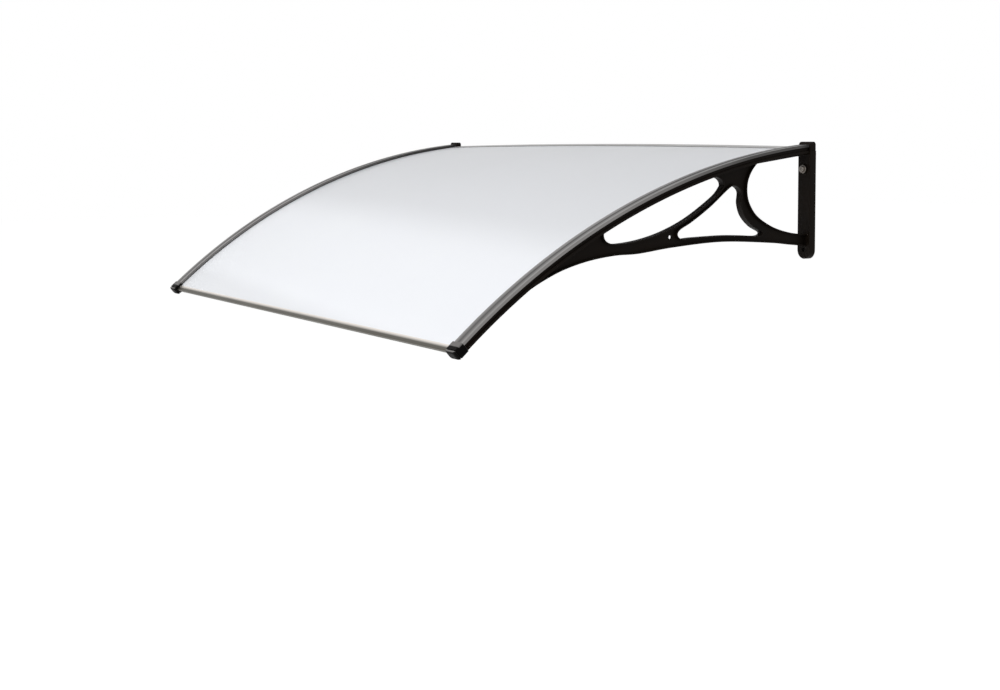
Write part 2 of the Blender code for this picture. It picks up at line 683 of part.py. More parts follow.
def make_front_bar():
    """Channel over the low edge of the sheet, between the front caps."""
    end = angle_at(CANOPY_DEPTH)
    back = -FRONT_LIP / ARC_RADIUS
    gap = CLEARANCE / ARC_RADIUS
    web = (CLEARANCE + FRONT_WEB) / ARC_RADIUS
    top = CLEARANCE + FRONT_WALL
    low = -SHEET_THICKNESS - CLEARANCE
    polar = [
        (back, top), (0.6 * web, top), (web, top - 0.4 * FRONT_WALL),
        (web, low - 0.6 * FRONT_WALL), (0.6 * web, low - FRONT_WALL), (back, low - FRONT_WALL),
        (back, low), (gap, low), (gap, CLEARANCE), (back, CLEARANCE),
    ]
    section = []
    for turn, offset in polar:
        y, z = arc_point(end + turn, offset)
        section.append((-y, z))
    half = front_cap_inner() - CLEARANCE
    add_part("front_bar", along_width(section, half), ALUMINIUM)


def on_layer(distance, offset):
    """(distance, z) of the point square above the arc's point at a distance from the wall."""
    y, z = arc_point(angle_at(distance), offset)
    return -y, z


def make_rear_bar():
    """Aluminium profile along the wall: a back flange, two lips on the sheet, and the seal under it."""
    stop = SHEET_START - CLEARANCE
    end = SHEET_START + REAR_LIP
    top = CLEARANCE + REAR_WALL
    low = -SHEET_THICKNESS - CLEARANCE
    section = [
        (0.0, top), on_layer(end, top), on_layer(end, CLEARANCE), on_layer(stop, CLEARANCE),
        on_layer(stop, low), on_layer(end, low), on_layer(end, low - REAR_WALL),
        on_layer(stop - REAR_WALL, low - REAR_WALL), on_layer(stop - REAR_WALL, CLEARANCE),
        (REAR_BACK, CLEARANCE), (REAR_BACK, -REAR_BACK_DROP), (0.0, -REAR_BACK_DROP),
    ]
    half = STRIP_MIDDLE - PLATE_WIDTH / 2 - COLLAR_GROWTH - CLEARANCE
    add_part("rear_bar", along_width(section, half, SHEET_COLUMNS, crowned=True), ALUMINIUM)
    seat = -REAR_BACK_DROP - CLEARANCE
    seal = [
        (0.0, seat), (SEAL_WIDTH, seat), (SEAL_WIDTH, seat - 0.3 * SEAL_HEIGHT),
        (0.3 * SEAL_WIDTH, seat - SEAL_HEIGHT), (0.0, seat - SEAL_HEIGHT),
    ]
    add_part("rear_seal", along_width(seal, half, SHEET_COLUMNS, crowned=True), RUBBER)


def make_rear_caps():
    """Cap on the tongue of each wall plate, which also closes the end of the cover strip."""
    half = PLATE_WIDTH / 2 - REAR_CAP_SETBACK
    side, shoulder = half - REAR_CAP_SHOULDER, REAR_CAP_TOP - REAR_CAP_SHOULDER
    outline = [(-half, REAR_CAP_BOTTOM), (half, REAR_CAP_BOTTOM)]
    outline += quarter_turn(side, shoulder, REAR_CAP_SHOULDER, 0.0, 5)
    outline += quarter_turn(-side, shoulder, REAR_CAP_SHOULDER, math.pi / 2, 5)
    body = upright_prism(outline, PLATE_THICKNESS, REAR_CAP_ROUNDING)
    inside = half - REAR_CAP_WALL
    hollow = block(
        (STRIP_MIDDLE - inside, -PLATE_THICKNESS + TONGUE_SETBACK - CLEARANCE, 2 * REAR_CAP_BOTTOM),
        (STRIP_MIDDLE + inside, 3 * PLATE_THICKNESS, TONGUE_TOP + CLEARANCE))
    cap = cut_or_join(body, [add_cutter("rear_cap_hollow", hollow)], "DIFFERENCE")
    add_pair("rear_cap", cap, BLACK_PLASTIC)


def front_cap_inner():
    """X of the side of a front cap that faces the middle of the canopy."""
    return STRIP_INNER - CLEARANCE - FRONT_CAP_INNER_WALL


def rounded_rectangle(half_width, low, high, corner):
    """Points round a rectangle with round corners, about the middle of its width."""
    corner = min(corner, 0.95 * half_width, 0.475 * (high - low))
    points = []
    for turn, (x, z) in enumerate(((1, high), (-1, high), (-1, low), (1, low))):
        centre_z = z - corner if z == high else z + corner
        points += quarter_turn(x * (half_width - corner), centre_z, corner, math.pi / 2 * turn, 4)
    return points


def front_cap_body(left, right, low, high):
    """Sleeve with a groove round its front and a domed nose."""
    middle, half = (left + right) / 2, (right - left) / 2
    front = CLEARANCE + FRONT_CAP_FACE
    rim = front + FRONT_CAP_GROOVE_WIDTH
    # Each place is a distance forward, then how far the section stands inside the sides and the top.
    places = [(-FRONT_CAP_LENGTH, 0.0, 0.0), (front, 0.0, 0.0), (front, FRONT_CAP_GROOVE, FRONT_CAP_GROOVE),
              (rim, FRONT_CAP_GROOVE, FRONT_CAP_GROOVE), (rim, CLEARANCE, CLEARANCE)]
    steps = 6
    for i in range(1, steps + 1):
        turn = math.pi / 2 * i / steps
        places.append((rim + FRONT_CAP_NOSE * math.sin(turn),
                       CLEARANCE + (NOSE_NARROWING - CLEARANCE) * (1 - math.cos(turn)),
                       CLEARANCE + (NOSE_THINNING - CLEARANCE) * (1 - math.cos(turn))))
    bm = bmesh.new()
    rings = []
    for forward, beside, above in places:
        outline = rounded_rectangle(half - beside, low + above, high - above, FRONT_CAP_CORNER + 0.3 * beside)
        rings.append([bm.verts.new((middle + x, -forward, z)) for x, z in outline])
    for one, other in zip(rings, rings[1:]):
        for i in range(len(one)):
            j = (i + 1) % len(one)
            bm.faces.new((one[i], one[j], other[j], other[i]))
    bm.faces.new(rings[0])
    bm.faces.new(rings[-1])
    return mesh_of(bm)


def make_front_caps():
    """Rounded boot over the end of each strip and flange, slotted for the sheet."""
    end = angle_at(CANOPY_DEPTH)
    y, z = arc_point(end)
    # X stays across, Y points back up the arc and Z points out of the arc.
    at_tip = Matrix.Translation((0, y, z)) @ Matrix.Rotation(end, 4, "X")
    half = max(STRIP_WIDTH, FLANGE_WIDTH) / 2 + CLEARANCE
    low = FLANGE_UNDER - CLEARANCE
    high = STRIP_HEIGHT + CLEARANCE
    wall = FRONT_CAP_WALL
    body = front_cap_body(front_cap_inner(), STRIP_MIDDLE + half + wall, low - wall, high + wall)
    hollow = block((STRIP_MIDDLE - half, -CLEARANCE, low), (STRIP_MIDDLE + half, 2 * FRONT_CAP_LENGTH, high))
    slot = block(
        (STRIP_MIDDLE - half - 2 * FRONT_CAP_INNER_WALL, -CLEARANCE, -SHEET_THICKNESS - 2 * CLEARANCE),
        (STRIP_MIDDLE, 2 * FRONT_CAP_LENGTH, 2 * CLEARANCE))
    cutting = [add_cutter("front_cap_hollow", hollow), add_cutter("front_cap_slot", slot)]
    mesh = cut_or_join(body, cutting, "DIFFERENCE")
    mesh.transform(at_tip)
    add_pair("front_cap", mesh, BLACK_PLASTIC)


# Colour, roughness, metallic and alpha of each material
BLACK_PLASTIC = ((0.012, 0.012, 0.013), 0.42)
ALUMINIUM = ((0.42, 0.40, 0.38), 0.34, 1.0)
OPAL_SHEET = ((0.86, 0.88, 0.93), 0.18, 0.0, 0.9)
RUBBER = ((0.02, 0.02, 0.02), 0.75)
ZINC = ((0.62, 0.63, 0.64), 0.35, 1.0)


def build():
    global parts, cutters
    for piece in list(bpy.data.objects):
        bpy.data.objects.remove(piece)
    parts = bpy.data.collections.new("door_canopy")
    cutters = bpy.data.collections.new("cutters")
    bpy.context.scene.collection.children.link(parts)
    bpy.context.scene.collection.children.link(cutters)
    make_brackets()
    make_wall_bolts()
    make_sheet()
    make_gaskets()
    make_cover_strips()
    make_strip_screws()
    make_front_bar()
    make_rear_bar()
    make_rear_caps()
    make_front_caps()


build()
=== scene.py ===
import math

import bmesh
import bpy
from mathutils import Matrix, Vector


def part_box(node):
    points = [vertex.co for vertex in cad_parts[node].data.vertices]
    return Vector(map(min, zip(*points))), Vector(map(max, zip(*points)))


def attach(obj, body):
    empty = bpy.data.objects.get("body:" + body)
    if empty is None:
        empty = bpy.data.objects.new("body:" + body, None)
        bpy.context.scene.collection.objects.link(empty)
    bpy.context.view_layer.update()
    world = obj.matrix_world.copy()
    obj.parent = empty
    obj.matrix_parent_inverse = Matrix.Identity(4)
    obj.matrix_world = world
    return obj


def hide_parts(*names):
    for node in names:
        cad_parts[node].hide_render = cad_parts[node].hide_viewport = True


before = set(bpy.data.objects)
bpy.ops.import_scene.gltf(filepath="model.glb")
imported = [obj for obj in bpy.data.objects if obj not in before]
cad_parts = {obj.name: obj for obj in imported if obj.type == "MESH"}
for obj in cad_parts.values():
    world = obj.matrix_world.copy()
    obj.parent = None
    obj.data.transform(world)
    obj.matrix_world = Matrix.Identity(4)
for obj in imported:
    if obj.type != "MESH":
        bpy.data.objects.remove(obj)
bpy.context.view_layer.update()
print("frame loaded")

# sizes of the canopy in metres, the same as in the CAD part
canopy = {
    "width": 1.600,
    "depth": 0.900,
    "slopeAtWall": math.radians(5.2),
    "slopeAtFront": math.radians(41.9),
    "clearance": 0.0003,
    "stripWidth": 0.033,
    "plateThickness": 0.0160,
}
wallSlope, frontSlope = canopy["slopeAtWall"], canopy["slopeAtFront"]
arcRadius = canopy["depth"] / (math.sin(frontSlope) - math.sin(wallSlope))
arcY = arcRadius * math.sin(wallSlope)
arcZ = -arcRadius * math.cos(wallSlope)
gap, plateDepth, halfStrip = canopy["clearance"], canopy["plateThickness"], canopy["stripWidth"] / 2
stripMiddle = canopy["width"] / 2 - halfStrip
stripInner = stripMiddle - halfStrip


def angleAt(distance, offset=0.0):
    return math.asin((distance + arcY) / (arcRadius + offset))


def arcPoint(angle, offset=0.0):
    radius = arcRadius + offset
    return arcY - radius * math.sin(angle), arcZ + radius * math.cos(angle)


def arcHeight(distance, offset=0.0):
    return arcPoint(angleAt(distance, offset), offset)[1]


sheetFrom, sheetTo = angleAt(plateDepth + gap), angleAt(canopy["depth"])


def fromHex(code):  # sRGB hex to linear colour
    values = [int(code[i:i + 2], 16) / 255 for i in (1, 3, 5)]
    return tuple(v / 12.92 if v < 0.04045 else ((v + 0.055) / 1.055) ** 2.4 for v in values) + (1.0,)


# adds a node: links gives each input a value or a socket, and the rest are the node's own settings
def addNode(tree, kind, links=None, **settings):
    node = tree.nodes.new(kind)
    for name, value in settings.items():
        setattr(node, name, value)
    for name, value in (links or {}).items():
        socket = node.inputs[name]
        if isinstance(value, bpy.types.NodeSocket):
            tree.links.new(value, socket)
        else:
            socket.default_value = value
    return node


def newObject(name, data):
    piece = bpy.data.objects.new(name, data)
    bpy.context.scene.collection.objects.link(piece)
    return piece


def plainMesh(piece):  # the evaluated object as a mesh of its own, with the modifiers gone
    bpy.context.view_layer.update()
    mesh = bpy.data.meshes.new_from_object(piece.evaluated_get(bpy.context.evaluated_depsgraph_get()))
    mesh.transform(piece.matrix_world)
    return mesh


def cleaned(mesh, merge=1e-6):  # doubles merged, faces turned outwards
    bm = bmesh.new()
    bm.from_mesh(mesh)
    bmesh.ops.remove_doubles(bm, verts=bm.verts, dist=merge)
    bmesh.ops.recalc_face_normals(bm, faces=bm.faces)
    bm.to_mesh(mesh)
    bm.free()
    return mesh


# the finished piece at the origin, riding on the canopy's one body; sharp is the angle of sharp edges
def finished(name, mesh, material, replaced, sharp=34):
    mesh.name = name
    mesh.materials.clear()
    mesh.materials.append(material)
    mesh.shade_smooth()
    mesh.set_sharp_from_angle(angle=math.radians(sharp))
    work = newObject(name + "Work", mesh)
    weighted = work.modifiers.new("flat faces stay flat", "WEIGHTED_NORMAL")
    weighted.keep_sharp = True
    done = plainMesh(work)
    bpy.data.objects.remove(work)
    done.name = name
    piece = newObject(name, done)
    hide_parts(*replaced)
    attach(piece, "root")


# a piece for the right side and its mirror image for the left, each in place of that side's nodes
def bothSides(name, mesh, material, nodes, sharp=34):
    left = mesh.copy()
    left.transform(Matrix.Scale(-1, 4, (1, 0, 0)))
    left.flip_normals()
    for label, half in (("Right", mesh), ("Left", left)):
        finished(name + label, half, material, [f"{node}_{label.lower()}" for node in nodes], sharp)


def meshOf(bm):
    bmesh.ops.recalc_face_normals(bm, faces=bm.faces)
    mesh = bpy.data.meshes.new("shape")
    bm.to_mesh(mesh)
    bm.free()
    return mesh


def pulledOut(bm, outline, way):  # closed body from a flat outline
    face = bm.faces.new([bm.verts.new(place) for place in outline])
    grown = bmesh.ops.extrude_face_region(bm, geom=[face])["geom"]
    moved = [part for part in grown if isinstance(part, bmesh.types.BMVert)]
    bmesh.ops.translate(bm, verts=moved, vec=way)


def combined(mesh, others, operation):  # Boolean of closed meshes, one after the other
    work = newObject("work", mesh)
    helpers = [newObject("helper", other) for other in others]
    for helper in helpers:
        boolean = work.modifiers.new("boolean", "BOOLEAN")
        boolean.operation = operation
        boolean.object = helper
        boolean.solver = "MANIFOLD"
    result = plainMesh(work)
    for helper in helpers + [work]:
        bpy.data.objects.remove(helper)
    return result


# Materials

mostNoise = (0.3, 0.7)  # nearly all values of a noise lie between these


def emptyTree(owner):  # of a material or a world
    owner.use_nodes = True
    owner.node_tree.nodes.clear()
    return owner.node_tree


def surfaceNoise(tree, coordinates, stretch, scale, detail=4.0, rough=0.55):
    mapped = addNode(tree, "ShaderNodeMapping", {"Vector": coordinates, "Scale": stretch})
    noise = addNode(tree, "ShaderNodeTexNoise", {
        "Vector": mapped.outputs["Vector"], "Scale": scale, "Detail": detail, "Roughness": rough})
    return noise.outputs["Fac"]


# a principled material whose colour, roughness and height vary with two sizes of noise
# (sockets 6 and 7 of a Mix node, and its output 2, are its colours)
def newMaterial(name, look, tint=None):
    material = bpy.data.materials.new(name)
    tree = emptyTree(material)
    coordinates = addNode(tree, "ShaderNodeTexCoord").outputs["Object"]
    fine = surfaceNoise(tree, coordinates, look["stretch"], 1 / look["fineSize"])
    broad = surfaceNoise(tree, coordinates, (1, 1, 1), 1 / look["broadSize"], detail=3.0)
    colour = addNode(tree, "ShaderNodeMix", {
        "Factor": broad, 6: fromHex(look["colour"]), 7: fromHex(look["colourToo"])}, data_type="RGBA")
    if tint:
        colour = addNode(tree, "ShaderNodeMix", {
            "Factor": 1.0, 6: colour.outputs[2], 7: tint(tree, coordinates)},
            data_type="RGBA", blend_type="MULTIPLY")
    roughness = addNode(tree, "ShaderNodeMapRange", {
        "Value": broad, "From Min": mostNoise[0], "From Max": mostNoise[1],
        "To Min": look["roughness"][0], "To Max": look["roughness"][1]})
    mixedRough = addNode(tree, "ShaderNodeMath", {
        0: fine, 1: look["fineRoughness"], 2: roughness.outputs["Result"]}, operation="MULTIPLY_ADD")
    bump = addNode(tree, "ShaderNodeBump", {
        "Height": fine, "Strength": look["bump"], "Distance": look["bumpHeight"]})
    shader = addNode(tree, "ShaderNodeBsdfPrincipled", {
        "Base Color": colour.outputs[2], "Roughness": mixedRough.outputs["Value"],
        "Normal": bump.outputs["Normal"], "Metallic": look.get("metallic", 0.0),
        "IOR": look.get("ior", 1.5), "Specular IOR Level": look.get("specular", 0.5),
        "Transmission Weight": look.get("transmission", 0.0)})
    addNode(tree, "ShaderNodeOutputMaterial", {"Surface": shader.outputs["BSDF"]})
    return material


# glass-filled nylon, injection moulded in a spark-eroded tool: near black, matt, faintly warm,
# with a fine grain of 0.1 mm, drawn at 1.2 mm to show
mouldedNylonLook = {
    "colour": "#0A0705", "colourToo": "#18110B", "roughness": (0.42, 0.54), "fineRoughness": 0.08,
    "fineSize": 0.0012, "broadSize": 0.060, "stretch": (1, 1, 1),
    "bump": 0.18, "bumpHeight": 0.00008, "ior": 1.53, "specular": 0.06,
}
# softer polypropylene caps, black: painted light turns them grey where they face up, and painted shade keeps
# them black below and darkens a band round the groove
paintedLightCapLook = {
    "colour": "#706E6D", "colourToo": "#666463", "roughness": (0.34, 0.46), "fineRoughness": 0.06,
    "fineSize": 0.0010, "broadSize": 0.025, "stretch": (1, 1, 1),
    "bump": 0.12, "bumpHeight": 0.00006, "ior": 1.49, "specular": 0.02,
    "shadeColour": "#303030", "litFrom": 0.05, "litTo": 0.42,  # upward share of the surface's facing
    "grooveShade": (-0.0060, 0.0036), "grooveShadeEdges": (0.0015, 0.0005),  # along the cap from the sheet's end
}
# aluminium extruded through a die and anodised bronze grey: fine lines run with the length
anodisedStripLook = {
    "colour": "#9B9A9A", "colourToo": "#919090", "roughness": (0.30, 0.40), "fineRoughness": 0.10,
    "fineSize": 0.0010, "broadSize": 0.150, "stretch": (1, 0.01, 0.01),  # die lines 0.3 mm, drawn at 1 mm
    "bump": 0.10, "bumpHeight": 0.00003, "metallic": 1.0,
    # painted highlights near its edges and painted shade in its trough, as shares of the brightness from the
    # inner to the outer edge of the strip
    "across": (
        (0.0, "#C6C4C2"), (0.012, "#C6C4C2"), (0.04, "#FAF8F6"), (0.34, "#B4B2B1"), (0.44, "#A2A1A0"),
        (0.62, "#A6A4A3"), (0.80, "#D8D6D4"), (0.93, "#F2F0EE"), (0.99, "#DAD8D6"), (1.0, "#DAD8D6")),
    # and between places along it: painted shade, darker towards the wall, and darker again where it meets the
    # rear cap
    "along": ((-0.52, 1.0), (-0.18, 0.36)),
    "capEndPaintedShade": ((-0.045, 1.0), (-0.022, 0.35)),
}
# the rear bar is the same anodised aluminium, without the strip's painted light and shade
anodisedBarLook = dict(anodisedStripLook, colour="#9A9998", colourToo="#908F8E", stretch=(0.01, 1, 1))
# the same aluminium on the front bar, painted pale cream on its lips as painted light, with painted shade in
# warm grey round the nose
frontBarLook = dict(
    anodisedBarLook, colour="#E5DFD8", colourToo="#DDD7D1", roughness=(0.28, 0.38), broadSize=0.200,
    noseShade="#5B5A54", noseShadeEdge=(-0.0110, -0.0044))  # it fades in between these, from the sheet's end
# opal polycarbonate, extruded and polished: milky, faintly blue, lets light through and blurs what is
# behind it, with painted light and shade along its slope: brightest a quarter of the way up, darker at the
# low edge and over the flatter part towards the wall
opalSheetLook = {
    "colour": "#EFF1F6", "colourToo": "#F3F5F8", "roughness": (0.30, 0.36), "fineRoughness": 0.02,
    "fineSize": 0.050, "broadSize": 0.300, "stretch": (1, 1, 1),
    "bump": 0.03, "bumpHeight": 0.0004, "ior": 1.585, "specular": 0.15, "transmission": 0.15,
    # the painted light and shade at shares of the way from the low edge to the wall, and its lean to the
    # right side
    "sheetLightAndShade": ((0.0, "#EEEEEE"), (0.06, "#F9F9F9"), (0.27, "#FFFFFF"), (0.43, "#F0F0F0"), (1.0, "#F4F4F4")),
    "sheetLightAndShadeLean": 0.06,
}
# synthetic rubber, extruded: matt charcoal
edgeRubberLook = {
    "colour": "#1A1A1A", "colourToo": "#222121", "roughness": (0.70, 0.82), "fineRoughness": 0.06,
    "fineSize": 0.0015, "broadSize": 0.040, "stretch": (1, 0.1, 0.1),
    "bump": 0.15, "bumpHeight": 0.00006, "ior": 1.52, "specular": 0.3,
}
# steel with a thin zinc plating, dulled by handling: warm grey metal with soft cloudy patches
zincPlatingLook = {
    "colour": "#857F79", "colourToo": "#958E87", "roughness": (0.30, 0.44), "fineRoughness": 0.10,
    "fineSize": 0.0008, "broadSize": 0.006, "stretch": (1, 1, 1),
    "bump": 0.10, "bumpHeight": 0.00003, "metallic": 1.0,
}


# colours at shares of the way from start to end
def rampOver(tree, value, start, end, stops, change="LINEAR"):
    share = addNode(tree, "ShaderNodeMapRange", {"Value": value, "From Min": start, "From Max": end})
    ramp = addNode(tree, "ShaderNodeValToRGB", {"Fac": share.outputs["Result"]})
    ramp.color_ramp.interpolation = change
    elements = ramp.color_ramp.elements
    for number, (place, code) in enumerate(stops):
        stop = elements[number] if number < 2 else elements.new(place)  # a new ramp has two
        stop.position, stop.color = place, fromHex(code)
    return ramp.outputs["Color"]


def stripLightAndShadeTint(tree, coordinates):  # painted shade in the strip's trough, towards the wall and by the rear cap, with painted highlights near its edges
    place = addNode(tree, "ShaderNodeSeparateXYZ", {"Vector": coordinates})
    side = addNode(tree, "ShaderNodeMath", {0: place.outputs["X"]}, operation="ABSOLUTE")
    outer = stripMiddle + halfStrip
    colour = rampOver(tree, side.outputs[0], stripInner, outer, anodisedStripLook["across"])
    for name in ("along", "capEndPaintedShade"):
        (farPlace, farShare), (wallPlace, wallShare) = anodisedStripLook[name]
        along = addNode(tree, "ShaderNodeMapRange", {
            "Value": place.outputs["Y"], "From Min": farPlace, "From Max": wallPlace,
            "To Min": farShare, "To Max": wallShare})
        colour = addNode(tree, "ShaderNodeVectorMath", {
            0: colour, 1: along.outputs["Result"]}, operation="MULTIPLY").outputs[0]
    return colour


def sheetLightAndShadeTint(tree, coordinates):  # painted shade over the flatter part towards the wall and along its low edge
    lean = Vector((opalSheetLook["sheetLightAndShadeLean"], 1, 0))
    place = addNode(tree, "ShaderNodeVectorMath", {0: coordinates, 1: lean}, operation="DOT_PRODUCT")
    return rampOver(tree, place.outputs["Value"], -canopy["depth"], 0.0, opalSheetLook["sheetLightAndShade"], "EASE")


forwards = Vector((0, -math.cos(frontSlope), -math.sin(frontSlope)))
sheetEnd = forwards.dot(Vector((0, *arcPoint(sheetTo))))


def aheadOf(tree, coordinates):  # distance down the slope that the sheet has at its end
    ahead = addNode(tree, "ShaderNodeVectorMath", {0: coordinates, 1: forwards}, operation="DOT_PRODUCT")
    return ahead.outputs["Value"]


def nosePaintedShade(tree, coordinates):  # painted shade in warm grey on the nose of the front bar, fading out behind it
    start, stop = (sheetEnd + place for place in frontBarLook["noseShadeEdge"])
    share = addNode(tree, "ShaderNodeMapRange", {
        "Value": aheadOf(tree, coordinates), "From Min": start, "From Max": stop})
    return addNode(tree, "ShaderNodeMix", {
        "Factor": share.outputs["Result"], 6: (1, 1, 1, 1), 7: fromHex(frontBarLook["noseShade"])},
        data_type="RGBA").outputs[2]


def capLightAndShadeTint(tree, coordinates):  # painted shade: black below and in a band round the groove; painted light: grey where the cap faces up
    ahead = aheadOf(tree, coordinates)
    start, stop = (sheetEnd + place for place in paintedLightCapLook["grooveShade"])
    behindEdge, aheadEdge = paintedLightCapLook["grooveShadeEdges"]
    before = addNode(tree, "ShaderNodeMapRange", {
        "Value": ahead, "From Min": start - behindEdge, "From Max": start, "To Min": 1.0, "To Max": 0.0})
    after = addNode(tree, "ShaderNodeMapRange", {
        "Value": ahead, "From Min": stop, "From Max": stop + aheadEdge})
    outsideGrooveShade = addNode(tree, "ShaderNodeMath", {
        0: before.outputs[0], 1: after.outputs[0]}, operation="MAXIMUM")
    facing = addNode(tree, "ShaderNodeTexCoord").outputs["Normal"]
    upward = addNode(tree, "ShaderNodeSeparateXYZ", {"Vector": facing}).outputs["Z"]
    litShare = addNode(tree, "ShaderNodeMapRange", {
        "Value": upward, "From Min": paintedLightCapLook["litFrom"], "From Max": paintedLightCapLook["litTo"]})
    share = addNode(tree, "ShaderNodeMath", {
        0: litShare.outputs[0], 1: outsideGrooveShade.outputs[0]}, operation="MULTIPLY")
    return addNode(tree, "ShaderNodeMix", {
        "Factor": share.outputs[0], 6: fromHex(paintedLightCapLook["shadeColour"]), 7: (1, 1, 1, 1)},
        data_type="RGBA").outputs[2]


mouldedNylon = newMaterial("mouldedNylonBlack", mouldedNylonLook)
# painted light and shade on the caps: grey tops, black undersides and a dark band round the groove
paintedLightCap = newMaterial("paintedLightCapPlastic", paintedLightCapLook, capLightAndShadeTint)
# painted light and shade on the strips: bright edges, a dark trough, darker towards the wall and the rear cap
anodisedStrip = newMaterial("anodisedAluminiumStrip", anodisedStripLook, stripLightAndShadeTint)
anodisedBar = newMaterial("anodisedAluminiumBar", anodisedBarLook)
# painted light and shade on the front bar: pale cream lips and a warm grey nose
frontBarMetal = newMaterial("frontBarPaintedLightAndShade", frontBarLook, nosePaintedShade)
# painted light and shade on the sheet: a brighter band, darker towards the wall and the low edge
opalSheet = newMaterial("opalPolycarbonate", opalSheetLook, sheetLightAndShadeTint)
edgeRubber = newMaterial("extrudedRubber", edgeRubberLook)
zincPlating = newMaterial("zincPlatedSteel", zincPlatingLook)
print("materials ready")


# Geometry Nodes trees

def newTree(name, inputs):
    tree = bpy.data.node_groups.new(name, "GeometryNodeTree")
    tree.interface.new_socket("Geometry", in_out="OUTPUT", socket_type="NodeSocketGeometry")
    for label, kind in inputs.items():
        tree.interface.new_socket(label, in_out="INPUT", socket_type="NodeSocket" + kind)
    return tree, tree.nodes.new("NodeGroupInput").outputs


def endTree(tree, geometry, material):
    realized = addNode(tree, "GeometryNodeRealizeInstances", {"Geometry": geometry})
    dressed = addNode(tree, "GeometryNodeSetMaterial", {
        "Geometry": realized.outputs[0], "Material": material})
    addNode(tree, "NodeGroupOutput", {0: dressed.outputs[0]})


# runs a tree on an empty mesh, with its named inputs set, and gives back the plain mesh
def meshFromTree(tree, values, more=None):
    work = newObject("work", bpy.data.meshes.new("work"))
    modifier = work.modifiers.new("tree", "NODES")
    modifier.node_group = tree
    for item in tree.interface.items_tree:
        if item.in_out == "INPUT":
            modifier[item.identifier] = values[item.name]
    if more:
        more(work)
    mesh = plainMesh(work)
    bpy.data.objects.remove(work)
    return mesh


def arcPlace(tree, x, angle, radius, rise=0.0):  # vector socket with the place on the arc at an angle
    sine = addNode(tree, "ShaderNodeMath", {0: angle}, operation="SINE").outputs[0]
    cosine = addNode(tree, "ShaderNodeMath", {0: angle}, operation="COSINE").outputs[0]
    inwards = addNode(tree, "ShaderNodeMath", {0: radius, 1: -1.0}, operation="MULTIPLY").outputs[0]
    y = addNode(tree, "ShaderNodeMath", {0: sine, 1: inwards, 2: arcY}, operation="MULTIPLY_ADD")
    z = addNode(tree, "ShaderNodeMath", {0: cosine, 1: radius, 2: arcZ}, operation="MULTIPLY_ADD")
    raised = addNode(tree, "ShaderNodeMath", {0: z.outputs[0], 1: rise}, operation="ADD")
    return addNode(tree, "ShaderNodeCombineXYZ", {
        "X": x, "Y": y.outputs[0], "Z": raised.outputs[0]}).outputs[0]


def makeProfileTree():  # any section carried along the arc at one side of the canopy
    tree, given = newTree("profileAlongArc", {
        "Section": "Object", "Side": "Float", "Radius": "Float", "Start Angle": "Float", "End Angle": "Float",
        "Steps": "Int", "Material": "Material"})
    line = addNode(tree, "GeometryNodeCurvePrimitiveLine", {"Start": (0, 0, 0), "End": (1, 0, 0)})
    path = addNode(tree, "GeometryNodeResampleCurve", {"Curve": line.outputs[0], "Count": given["Steps"]})
    share = addNode(tree, "GeometryNodeSplineParameter").outputs["Factor"]
    angle = addNode(tree, "ShaderNodeMapRange", {
        "Value": share, "To Min": given["Start Angle"], "To Max": given["End Angle"]}).outputs["Result"]
    place = arcPlace(tree, given["Side"], angle, given["Radius"])
    bent = addNode(tree, "GeometryNodeSetPosition", {"Geometry": path.outputs[0], "Position": place})
    section = addNode(tree, "GeometryNodeObjectInfo", {"Object": given["Section"]})
    swept = addNode(tree, "GeometryNodeCurveToMesh", {
        "Curve": bent.outputs[0], "Profile Curve": section.outputs["Geometry"], "Fill Caps": True})
    endTree(tree, swept.outputs[0], given["Material"])
    return tree


profileTree = makeProfileTree()


mostOfSide = 0.48  # the share of a side that the rounding of one corner may take


def rounded(corners, steps=4):  # closed outline from corners of (x, offset, rounding)
    out = []
    for i, corner in enumerate(corners):
        before, here, after = (Vector(corners[k % len(corners)][:2]) for k in (i - 1, i, i + 1))
        rounding = corner[2]
        if rounding <= 0:
            out.append(tuple(here))
            continue
        inward, onward = before - here, after - here
        half = inward.angle(onward) / 2
        reach = min(rounding / math.tan(half), mostOfSide * inward.length, mostOfSide * onward.length)
        first, last = here + inward.normalized() * reach, here + onward.normalized() * reach
        for k in range(steps + 1):
            t = k / steps
            point = (1 - t) ** 2 * first + 2 * t * (1 - t) * here + t ** 2 * last
            out.append(tuple(point))
    return out


def sectionObject(points):  # closed section for Curve to Mesh, which turns it half round on this path
    curve = bpy.data.curves.new("section", "CURVE")
    curve.dimensions = "2D"
    spline = curve.splines.new("POLY")
    spline.points.add(len(points) - 1)
    for point, (x, offset) in zip(spline.points, points):
        point.co = (-x, -offset, 0, 1)
    spline.use_cyclic_u = True
    return newObject("section", curve)


def alongArc(corners, material, start=sheetFrom, end=sheetTo, steps=96, cornerSteps=4):
    section = sectionObject(rounded(corners, cornerSteps))
    mesh = meshFromTree(profileTree, {
        "Section": section, "Side": stripMiddle, "Radius": arcRadius,
        "Start Angle": start, "End Angle": end, "Steps": steps, "Material": material})
    bpy.data.objects.remove(section)
    return cleaned(mesh)


# Opal sheet: a grid laid on the arc, with the crown of its middle at the wall

sheet = {
    "thickness": 0.004,
    "crown": 0.0064,
    "bite": 0.011,  # how far it reaches under each strip
    "columns": 97,
    "rows": 73,
}


